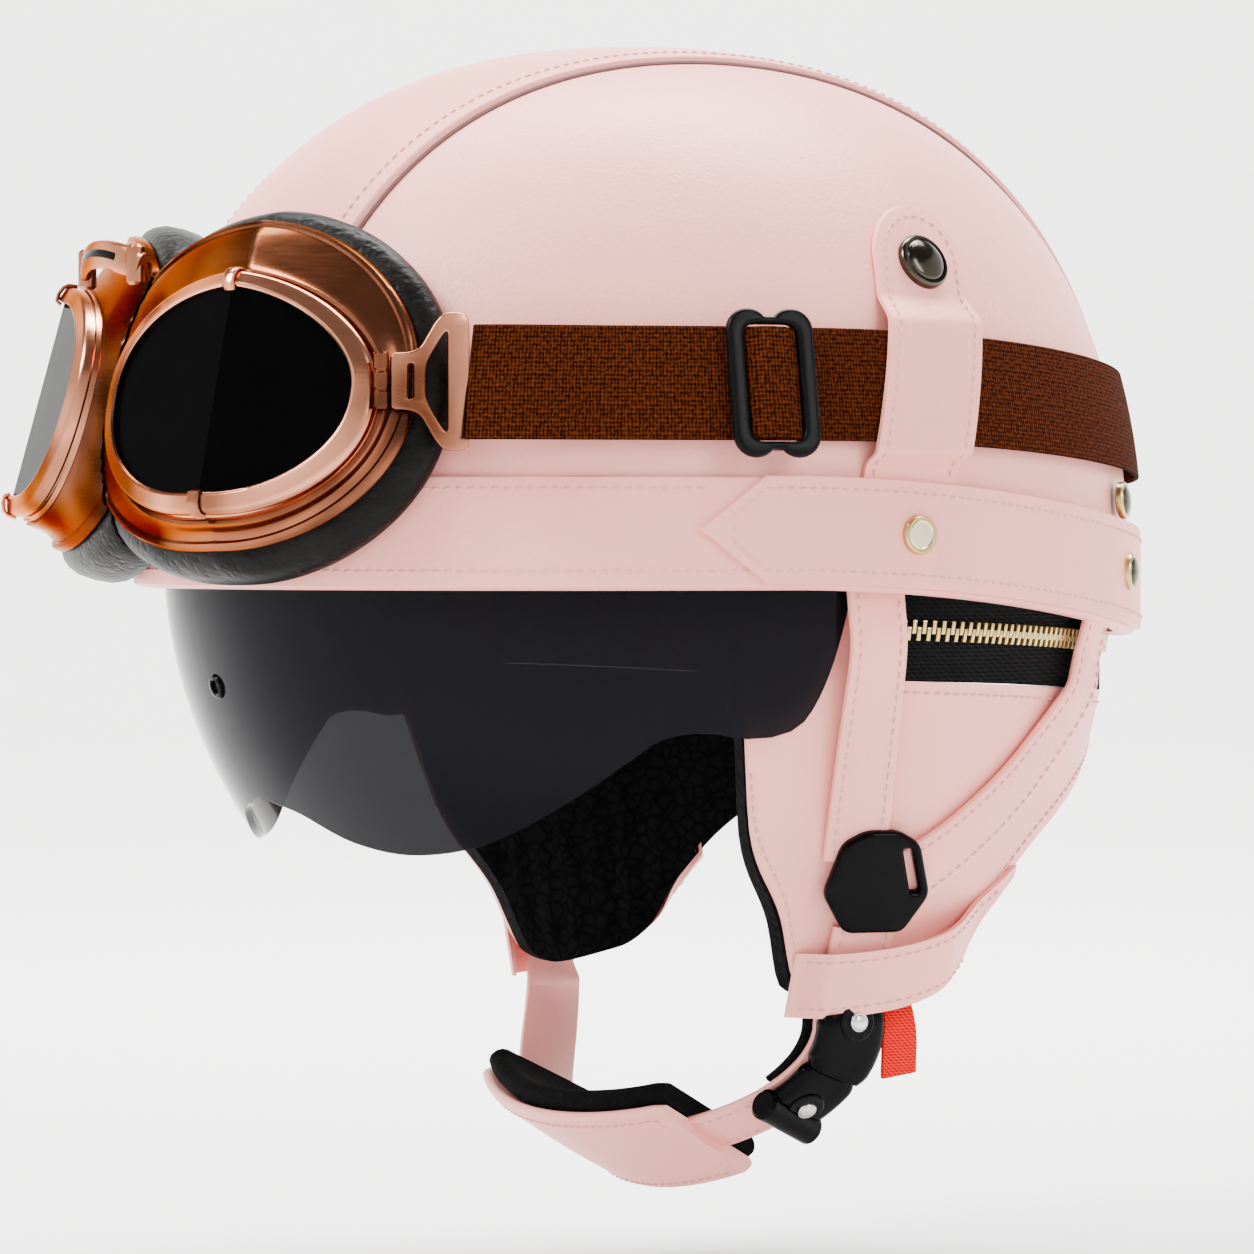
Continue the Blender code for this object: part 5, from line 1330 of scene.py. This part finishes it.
def curtain_rows():
    return [0, 0.015, *steps(0.05, 0.95, 24), 0.985, 1]


def ruffle(turn, share):
    """Soft waves in the curtain, stronger at the lower edge of the nape."""
    nape = smooth(120, 150, turn_off_front(turn))
    return nape * share**2 * RUFFLE * math.sin(math.radians(turn) * 9)


def make_curtain():
    turns = steps(FLAP_FRONT, 360 - FLAP_FRONT, 240)
    grids = [[[curtain_point(t, mix(curtain_top(t), curtain_bottom(t), s), offset + ruffle(t, s))
               for t in turns] for s in curtain_rows()] for offset in (0, -CURTAIN_THICK)]
    leather_piece("curtain_leather", grid_bmesh(*grids), "neck_curtain", bevel=LEATHER_EASE)


def make_padding():
    """The curtain's padded lining, ridged along the flaps, a little proud of their front edges."""
    first = FLAP_FRONT
    turns = steps(first, 360 - first, 240)
    proud = math.degrees(LINING_PROUD / SHELL_HALF_WIDTH)
    outer = -CURTAIN_THICK - TOUCH - FACET
    turns = [first - proud, first - proud * 0.5, *turns[1:-1], 360 - first + proud * 0.5, 360 - first + proud]

    def hollow(turn, share):
        """Quilted ridges along the flap's edge."""
        off = turn_off_front(turn)
        flap = 1 - smooth(112, 126, off)
        inset = min(off - first, 40) * 1.9 * MM
        ridge = 0.5 + 0.5 * math.cos(math.tau * inset / RIDGE_PITCH)
        return flap * ridge * RIDGE_DEPTH * smooth(0.04, 0.14, share) * (1 - smooth(0.92, 0.98, share))

    grids = [[[curtain_point(t, mix(curtain_top(t) - 2 * MM, curtain_bottom(t) - 1.2 * MM, s),
                             offset + (hollow(t, s) if offset < outer else 0)) for t in turns]
              for s in curtain_rows()] for offset in (outer, outer - LINING_THICK)]
    made = add_piece("curtain_padding", grid_bmesh(*grids), "black_lining", replaces=["curtain_lining"],
                     slot="lining", bevel=1.2 * MM)


def stitch_curtain():
    """Rows of stitches along the curtain's lower edge, the flaps' fronts and below the zip."""
    start, lift, raise_by = FLAP_FRONT + 2.2, 0.15 * MM, 4.2 * MM
    stitch([curtain_point(t, curtain_bottom(t) + raise_by, lift + ruffle(t, 0.95))
            for t in steps(start, 360 - start, 700)])
    top, bottom = curtain_top(FLAP_FRONT), curtain_bottom(FLAP_FRONT) + raise_by
    for side in (LEFT, RIGHT):
        stitch(mirrored([curtain_point(start, mix(top, bottom, s), lift) for s in steps(0.05, 1, 30)], side))
        shelf = [curtain_point(t, curtain_top(t) - 3 * MM, lift) for t in steps(ZIP_START, 179, 300)]
        stitch(mirrored(shelf, side))


# Straps, divider, belt loop and chin strap

def flap_face(turn, level, offset, side):
    point = curtain_point(turn, level, offset)
    normal = surface_normal(curtain_point, turn, level, offset)
    return mirrored((point, normal), side)


def smooth_line(points, count):
    """Points along a smooth curve through the given ones."""
    made = []
    last = len(points) - 1
    for share in steps(0, last, count):
        k = min(int(share), last - 1)
        t = share - k
        before, one = points[max(k - 1, 0)], points[k]
        other, after = points[k + 1], points[min(k + 2, last)]
        made.append(one * (2 * t**3 - 3 * t**2 + 1) + other * (3 * t**2 - 2 * t**3)
                    + (other - before) * 0.5 * (t**3 - 2 * t**2 + t) + (after - one) * 0.5 * (t**3 - t**2))
    return made


def leather_strap(name, line, normals, node, count=60):
    """A folded leather strap with a row of stitches inside each edge."""
    line, normals = smooth_line(line, count), smooth_line(normals, count)
    leather_piece(name, loft_bmesh(strap_sections(line, normals, WEB_WIDTH, WEB_THICK)), node)
    for hand in (-1, 1):
        row, ups = [], []
        for k, point in enumerate(line):
            along = (line[min(k + 1, count)] - line[max(k - 1, 0)]).normalized()
            normal = (normals[k] - along * normals[k].dot(along)).normalized()
            aside = along.cross(normal) * hand * (WEB_WIDTH / 2 - 2.4 * MM)
            row.append(point + aside + normal * WEB_THICK / 2)
            ups.append(normal)
        stitch(row[2:-2], ups=ups[2:-2])


def make_front_strap(side):
    """From the rim down over the zip's front end to the divider."""
    word = SIDE_NAMES[side]
    end = DIVIDER_LEVEL + DIVIDER_HEIGHT / 2 + LOOSE
    foot, slope = flap_face(DIVIDER_TURN - 3, end, TOUCH + FACET + WEB_THICK / 2, LEFT)
    knee = zip_level(ZIP_START) - TEETH_HEIGHT / 2 - 2 * MM
    top = Vector((VISOR_HALF_WIDTH + 2 * LOOSE + WEB_THICK / 2, FRONT_STRAP_BACK, 2 * MM))
    line, normals = [], []
    for share in steps(-0.05, 1.14, 12):
        level = mix(top.z, end, share)
        below = max(0.0, (knee - level) / (knee - end))
        line.append(Vector((mix(top.x, foot.x, below), mix(top.y, foot.y, share), level)))
        normals.append(Vector((1, 0, 0)).lerp(slope, below))
    leather_strap(f"yoke_front_{word}", mirrored(line, side), mirrored(normals, side), f"front_strap_{word}")


def make_rear_strap(side):
    """From the rim over the zip and forward to the divider."""
    word = SIDE_NAMES[side]
    start, end = rim_level(REAR_STRAP_TURN) - 1 * MM, DIVIDER_LEVEL + DIVIDER_HEIGHT * 0.2
    over_zip = TEETH_THICK + 2 * (FACET + TOUCH)
    line, normals = [], []
    for share in steps(0, 1.14, 14):
        turn = mix(REAR_STRAP_TURN, DIVIDER_TURN + 8.2, share**1.9)
        clear = mix(over_zip, TOUCH + FACET, smooth(0.25, 0.6, share))
        point, normal = flap_face(turn, mix(start, end, share), clear + WEB_THICK / 2, side)
        line.append(point)
        normals.append(normal)
    leather_strap(f"yoke_rear_{word}", line, normals, f"rear_strap_{word}")


def make_divider(side):
    """The black plate where the yoke's two straps meet, with a slot near its rear edge."""
    word = SIDE_NAMES[side]
    point, normal = flap_face(DIVIDER_TURN, DIVIDER_LEVEL, DIVIDER_THICK / 2 + 3 * FACET, side)
    up = (Vector((0, 0, 1)) - normal * normal.z).normalized()
    along = up.cross(normal)
    place = axes_place(along, up, normal, point)
    wide, tall = DIVIDER_WIDTH / 2, DIVIDER_HEIGHT / 2
    half = [(0.55 * wide, -tall), (wide, -0.25 * tall), (0.72 * wide, 0.75 * tall), (0.3 * wide, tall)]
    outline = rounded([*half, *((-x, y) for x, y in reversed(half))], 2.4 * MM)
    slot = rounded([(side * 0.40 * wide, 0.66 * tall), (side * 0.56 * wide, 0.66 * tall),
                    (side * 0.80 * wide, -0.2 * tall), (side * 0.62 * wide, -0.2 * tall)], 0.9 * MM)
    plate_piece(f"divider_{word}", outline, [slot], DIVIDER_THICK, place, "gloss_black", bevel=1.3 * MM,
                replaces=[f"strap_divider_{word}"], slot="black_plastic")


def over_edge(turn, level, lift):
    """A point over the flap, carried round its lower edge to the inside where it reaches past that."""
    edge = curtain_bottom(turn)
    beyond = edge - level
    if beyond <= 0:
        return curtain_point(turn, level, lift)
    half = (CURTAIN_THICK + LINING_THICK + FACET) / 2
    reach = half + lift
    angle = min(beyond / reach, math.pi)
    inside = max(0.0, beyond - math.pi * reach)
    return curtain_point(turn, edge - reach * 0.7 * math.sin(angle) + inside, reach * math.cos(angle) - half)


def make_belt(side):
    """The leather belt over the chin strap, its rear end folded round the edge of the flap."""
    word = SIDE_NAMES[side]

    def belt_point(share, across, rise):
        turn = mix(BELT_FRONT_TURN, BELT_BACK_TURN + 1, share)
        level = mix(BELT_FRONT_LEVEL, BELT_BACK_LEVEL, share**2.2)
        over = smooth(0, 0.08, share) * (1 - smooth(0.45, 0.75, share))
        height = level + across * BELT_HEIGHT / 2
        lift = TOUCH + BELT_RISE * over + rise
        hanging = curtain_point(turn, height, lift)
        return hanging.lerp(over_edge(turn, height, lift), smooth(0.3, 0.6, share))

    shares = steps(0, 0.9, 90)
    grids = [[mirrored([belt_point(s, across, rise) for s in shares], side) for across in steps(-1, 1, 18)]
             for rise in (BELT_THICK, 0)]
    leather_piece(f"belt_{word}", grid_bmesh(*grids), f"belt_loop_{word}", bevel=LEATHER_EASE)
    for across in (-0.72, 0.72):
        stitch(mirrored([belt_point(s, across, BELT_THICK) for s in steps(0.03, 0.8, 110)], side))


def loop_section(degrees, width, thick, lift=0.0, bulge=0.0):
    """A rounded cross-section on the chin loop; bulge swells its outer face."""
    point, _, out, across = loop_frame(degrees)
    half, rise = width / 2, thick / 2
    section = []
    for side in (1, -1):
        for angle in (-90, -60, -30, 0, 30, 60, 90):
            turn = math.radians(angle)
            section.append((side * (half - rise + rise * math.cos(turn)), side * rise * math.sin(turn)))
        for share in (0.6, 0.2, -0.2, -0.6):
            section.append((side * share * (half - rise), side * rise))
    swell = [bulge * (1 - (x / half) ** 2) if y > 0 else 0 for x, y in section]
    return [point + across * x + out * (y + lift + more) for (x, y), more in zip(section, swell)]


def chin_strap(name, side, start, end, node):
    """From behind the divider, under the belt, along the loop from start to end in degrees."""
    line, normals = [], []
    top = DIVIDER_LEVEL - DIVIDER_HEIGHT / 2 - LOOSE + 2 * MM
    for share in steps(0, 1, 3):
        level = mix(top, LOOP_TOP + 6 * MM, share)
        point, normal = flap_face(DIVIDER_TURN, level, TOUCH + FACET + WEB_THICK / 2, side)
        line.append(point)
        normals.append(normal)
    for degrees in steps(start, end, 12):
        point, _, out, _ = loop_frame(degrees)
        line.append(point)
        normals.append(out)
    leather_strap(name, line, normals, node, 120)


def cup_half_width(degrees):
    """The chin cup is a straight sleeve with its corners just rounded."""
    share = (degrees - CUP_START) / (CUP_END - CUP_START)
    return CUP_WIDTH / 2 - 1.5 * MM * (1 - smooth(-0.02, 0.03, share) * (1 - smooth(0.97, 1.02, share)))


def make_chin():
    """The webbing on both sides, the leather sleeve under the chin and the fleece pad in it."""
    chin_strap("chin_webbing_left", LEFT, 0, CUP_START + 1, "chin_strap_left")
    chin_strap("chin_webbing_right", RIGHT, 180, CUP_END - 1, "chin_strap_right")
    degrees = steps(CUP_START - 0.5, CUP_END + 0.5, 70)
    sleeve = [loop_section(d, 2 * cup_half_width(d), CUP_THICK, CUP_THICK / 2, 1 * MM) for d in degrees]
    leather_piece("chin_cup_leather", loft_bmesh(sleeve), "chin_cup")
    below = -TOUCH - FACET - CHIN_PAD_THICK / 2
    pad = [loop_section(d, 2 * cup_half_width(d) + 1.5 * MM, CHIN_PAD_THICK, below) for d in degrees]
    made = add_piece("chin_fleece", loft_bmesh(pad), "fleece", replaces=["chin_pad"], slot="lining")
    edge, ups = [], []
    for hand, way in ((1, degrees), (-1, list(reversed(degrees)))):
        for d in way[3:-3]:
            point, _, out, across = loop_frame(d)
            aside = across * hand * (cup_half_width(d) - 3.4 * MM)
            edge.append(point + aside + out * (CUP_THICK + 0.35 * MM))
            ups.append(out)
    stitch(edge, True, ups)


def make_strap_backing():
    """The black tongue of the lining that runs down behind the left strap to the buckle."""
    reach = steps(-2, 33, 30)
    sections = []
    for degrees in reach:
        point, _, out, across = loop_frame(degrees)
        share = (degrees - reach[0]) / (reach[-1] - reach[0])
        half = mix(9 * MM, 7 * MM, share**2)
        inside = -(WEB_THICK / 2 + LOOSE + 1 * MM)
        sections.append([point + across * (x * half - 1.5 * MM) + out * (inside + y * 0.8 * MM)
                         for x, y in ((-1, 0), (-0.9, 1), (0.9, 1), (1, 0), (0.9, -1), (-0.9, -1))])
    add_piece("strap_backing", loft_bmesh(sections), "black_lining", slot="lining")


def make_buckle():
    """Ratchet buckle: a case, its tongue, a washer and a stud on each, and the cross pin."""
    lift = WEB_THICK / 2 + LOOSE
    middle = mix(BUCKLE_START, BUCKLE_END, 0.52)
    for name, first, last, width, thick, node in (
            ("buckle_case", BUCKLE_START, middle, CASE_WIDTH, CASE_THICK, "buckle_housing"),
            ("buckle_tongue", middle + 0.8, BUCKLE_END, TONGUE_WIDTH, TONGUE_THICK, "buckle_slide")):
        sections = []
        for share in steps(0, 1, 14):
            ease = 1 - 0.12 * (1 - smooth(0, 0.12, share)) - 0.12 * smooth(0.88, 1, share)
            sections.append(loop_section(mix(first, last, share), width * ease, thick, lift + thick / 2))
        add_piece(name, loft_bmesh(sections), "gloss_black", replaces=[node], slot="black_plastic")
    for number, degrees, thick in ((1, BUCKLE_START + 3, CASE_THICK), (2, BUCKLE_END - 7, TONGUE_THICK)):
        point, _, out, _ = loop_frame(degrees)
        washer = [(0, -1 * MM), (5 * MM, -1 * MM), (5 * MM, 0.3 * MM), (4.6 * MM, 0.6 * MM), (0, 0.6 * MM)]
        place = placed(point + out * (lift + thick), out)
        add_piece(f"buckle_washer_{number}", profile_bmesh(washer, place, 36), "black_satin",
                  slot="black_plastic")
        place.translation += out * 0.6 * MM
        stud(f"buckle_stud_{number}", place, (2.6 * MM, 1.5 * MM), "steel", "steel", f"buckle_rivet_{number}")
    point, _, out, across = loop_frame(BUCKLE_END - 1.5)
    axis = placed(point + out * (lift + 4 * MM), across)
    pin = both_edges([(0, -10.5 * MM), (3.4 * MM, -10.5 * MM), (4.2 * MM, -9.7 * MM)])
    add_piece("buckle_cross_pin", profile_bmesh(pin, axis, 28), "gloss_black", slot="black_plastic")


def make_red_pull():
    """The red ribbon beside the case that lets the buckle go."""
    lift = WEB_THICK / 2 + LOOSE
    point, _, out, across = loop_frame(BUCKLE_START)
    foot = point + across * (RELEASE_WIDTH / 2 + 8.5 * MM) + out * (lift + 2 * MM)
    line = [foot + Vector((0, 0.12, -1)) * RELEASE_LENGTH * share + out * 1.2 * MM * math.sin(share * 5)
            for share in steps(-0.25, 0.8, 16)]
    sections = strap_sections(line, [out] * len(line), RELEASE_WIDTH, 1.6 * MM)
    add_piece("red_pull", loft_bmesh(sections), "ribbon", replaces=["release_ribbon"], slot="ribbon")


# Repeated pieces: stitches and zip teeth, set out by geometry nodes

def thread_mesh():
    """One stitch along X: a bowed thread, sunk at both ends."""
    shape = bmesh.new()
    rings = []
    bow = ((-0.5, 0.35, -0.5), (-0.36, 0.95, 0.3), (0, 1.1, 0.75), (0.36, 0.95, 0.3), (0.5, 0.35, -0.5))
    for share, radius, rise in bow:
        rings.append([shape.verts.new((share * STITCH_LENGTH, p.x, p.y + rise * THREAD_RADIUS))
                      for p in circle(radius * THREAD_RADIUS, 0, 6)])
    join_rings(shape, rings)
    cap_ends(shape, rings)
    return shape


def tooth_mesh():
    """A pair of zip teeth, one from each side, half a pitch apart."""
    shape = bmesh.new()
    for hand in (-1, 1):
        centre = Vector((hand * ZIP_PITCH / 4, hand * 0.9 * MM, 0.7 * MM))
        rings = []
        for depth in (-0.7, 0.55, 0.7):
            shrink = 0.82 if depth == 0.7 else 1
            corners = ((-0.55, -1.7), (0.55, -1.7), (0.55, 1.7), (-0.55, 1.7))
            rings.append([shape.verts.new(centre + Vector((x * shrink, y * shrink, depth)) * MM)
                          for x, y in corners])
        join_rings(shape, rings)
        cap_ends(shape, rings)
    return shape


def spacing_tree(name, finish):
    """Sets a shape out along curves, a pitch apart, standing up along the curve's own normals."""
    tree = bpy.data.node_groups.new(name, "GeometryNodeTree")
    tree.interface.new_socket("Path", in_out="INPUT", socket_type="NodeSocketGeometry")
    tree.interface.new_socket("Shape", in_out="INPUT", socket_type="NodeSocketObject")
    tree.interface.new_socket("Pitch", in_out="INPUT", socket_type="NodeSocketFloat")
    tree.interface.new_socket("Result", in_out="OUTPUT", socket_type="NodeSocketGeometry")
    made = {}
    for key, kind in (("inputs", "NodeGroupInput"), ("curve", "GeometryNodeMeshToCurve"),
                      ("points", "GeometryNodeCurveToPoints"), ("up", "GeometryNodeInputNamedAttribute"),
                      ("shape", "GeometryNodeObjectInfo"), ("turn_up", "FunctionNodeAlignRotationToVector"),
                      ("turn_along", "FunctionNodeAlignRotationToVector"),
                      ("copies", "GeometryNodeInstanceOnPoints"), ("real", "GeometryNodeRealizeInstances"),
                      ("colour", "GeometryNodeSetMaterial"), ("outputs", "NodeGroupOutput")):
        made[key] = tree.nodes.new(kind)
    made["points"].mode = "LENGTH"
    made["up"].data_type = "FLOAT_VECTOR"
    made["up"].inputs["Name"].default_value = "up"
    made["turn_along"].axis = "X"
    made["turn_up"].axis = "Z"
    made["turn_up"].pivot_axis = "X"
    made["shape"].inputs["As Instance"].default_value = True
    made["colour"].inputs["Material"].default_value = FINISHES[finish]
    for one, out, other, into in (
            ("inputs", "Path", "curve", "Mesh"), ("curve", "Curve", "points", "Curve"),
            ("inputs", "Pitch", "points", "Length"), ("points", "Points", "copies", "Points"),
            ("points", "Tangent", "turn_along", "Vector"), ("turn_along", "Rotation", "turn_up", "Rotation"),
            ("up", "Attribute", "turn_up", "Vector"), ("turn_up", "Rotation", "copies", "Rotation"),
            ("inputs", "Shape", "shape", "Object"), ("shape", "Geometry", "copies", "Instance"),
            ("copies", "Instances", "real", "Geometry"), ("real", "Geometry", "colour", "Geometry"),
            ("colour", "Geometry", "outputs", "Result")):
        tree.links.new(made[one].outputs[out], made[other].inputs[into])
    return tree


def sewn(name, lines, pitch, shape_maker, finish):
    """One plain mesh of a small shape repeated along lines of (point, up) pairs."""
    path = bpy.data.meshes.new(name)
    points, ups, edges = [], [], []
    for line, closed in lines:
        first = len(points)
        points += [point for point, _ in line]
        ups += [up for _, up in line]
        edges += [(first + k, first + k + 1) for k in range(len(line) - 1)]
        if closed:
            edges.append((first + len(line) - 1, first))
    path.from_pydata(points, edges, [])
    values = path.attributes.new("up", "FLOAT_VECTOR", "POINT")
    values.data.foreach_set("vector", [part for up in ups for part in up])
    laid = in_scene(name, path)
    shape = shape_maker()
    bmesh.ops.recalc_face_normals(shape, faces=shape.faces)
    pattern_mesh = bpy.data.meshes.new(f"{name}_pattern")
    shape.to_mesh(pattern_mesh)
    shape.free()
    pattern = in_scene(f"{name}_pattern", pattern_mesh)
    spacing = laid.modifiers.new("spacing", "NODES")
    spacing.node_group = spacing_tree(f"{name}_spacing", finish)
    listed = spacing.node_group.interface.items_tree
    sockets = {item.name: item.identifier for item in listed if item.in_out == "INPUT"}
    spacing[sockets["Shape"]] = pattern
    spacing[sockets["Pitch"]] = pitch
    result = as_mesh(laid)
    bpy.data.objects.remove(pattern)
    result.name = name
    result.shade_smooth()
    result.set_sharp_from_angle(angle=math.radians(50))
    return in_scene(name, result)


# Floor, lights and camera

def make_stage():
    """A pale floor that curves up all round, far from the helmet."""
    profile = [(0, 0), (1.2, 0), (2.0, 0), (2.5, 0.05), (2.9, 0.2), (3.2, 0.5), (3.35, 0.9), (3.4, 1.6),
               (3.4, 2.6)]
    shape = profile_bmesh(profile, Matrix.Translation((0, 0, FLOOR_LEVEL)), 96, capped=False)
    bmesh.ops.recalc_face_normals(shape, faces=shape.faces)
    mesh = bpy.data.meshes.new("studio_floor")
    shape.to_mesh(mesh)
    shape.free()
    mesh.materials.append(plain("pale_floor", (0.80, 0.795, 0.785), 0.9))
    mesh.shade_smooth()
    in_scene("studio_floor", mesh)


def add_lamp(name, place, size, watts, towards):
    lamp = bpy.data.lights.new(name, "AREA")
    lamp.shape = "RECTANGLE"
    lamp.size, lamp.size_y = size
    lamp.energy = watts
    held = in_scene(name, lamp)
    held.location = place
    held.rotation_euler = (Vector(towards) - Vector(place)).to_track_quat("-Z", "Y").to_euler()


def make_studio():
    world = bpy.data.worlds.new("studio")
    world.use_nodes = True
    sky = world.node_tree.nodes["Background"].inputs
    sky["Color"].default_value = (*SKY_COLOUR, 1)
    sky["Strength"].default_value = SKY_STRENGTH
    bpy.context.scene.world = world
    for name, place, size, watts, towards in LAMPS:
        add_lamp(name, place, size, watts, towards)
    view = bpy.data.cameras.new("camera")
    view.lens, view.sensor_width = CAMERA_LENS, CAMERA_SENSOR
    view.clip_start, view.clip_end = 0.05, 20
    held = in_scene("camera", view)
    turn, rise = math.radians(CAMERA_TURN), math.radians(CAMERA_RISE)
    back = Vector((math.sin(turn) * math.cos(rise), -math.cos(turn) * math.cos(rise), math.sin(rise)))
    held.location = TARGET + back * CAMERA_AWAY
    held.rotation_euler = (-back).to_track_quat("-Z", "Y").to_euler()
    bpy.context.scene.camera = held


make_shell()
make_liner()
make_crown_panel()
make_brim()
make_rear_band()
make_elastic()
make_slider()
make_bridge()
make_visor()
make_visor_ring()
make_visor_pivot(LEFT)
make_visor_pivot(RIGHT)
make_zip()
make_curtain()
make_padding()
stitch_curtain()
make_chin()
make_strap_backing()
make_buckle()
make_red_pull()
for side in (LEFT, RIGHT):
    make_tab(side)
    make_studs(side)
    make_lens(side)
    make_rim(side)
    make_cup(side)
    make_pad(side)
    make_clips(side)
    make_hook(side)
    make_front_strap(side)
    make_rear_strap(side)
    make_divider(side)
    make_belt(side)
settle(sewn("rose_stitches", STITCH_LINES, STITCH_PITCH, thread_mesh, "thread"))
make_stage()
make_studio()
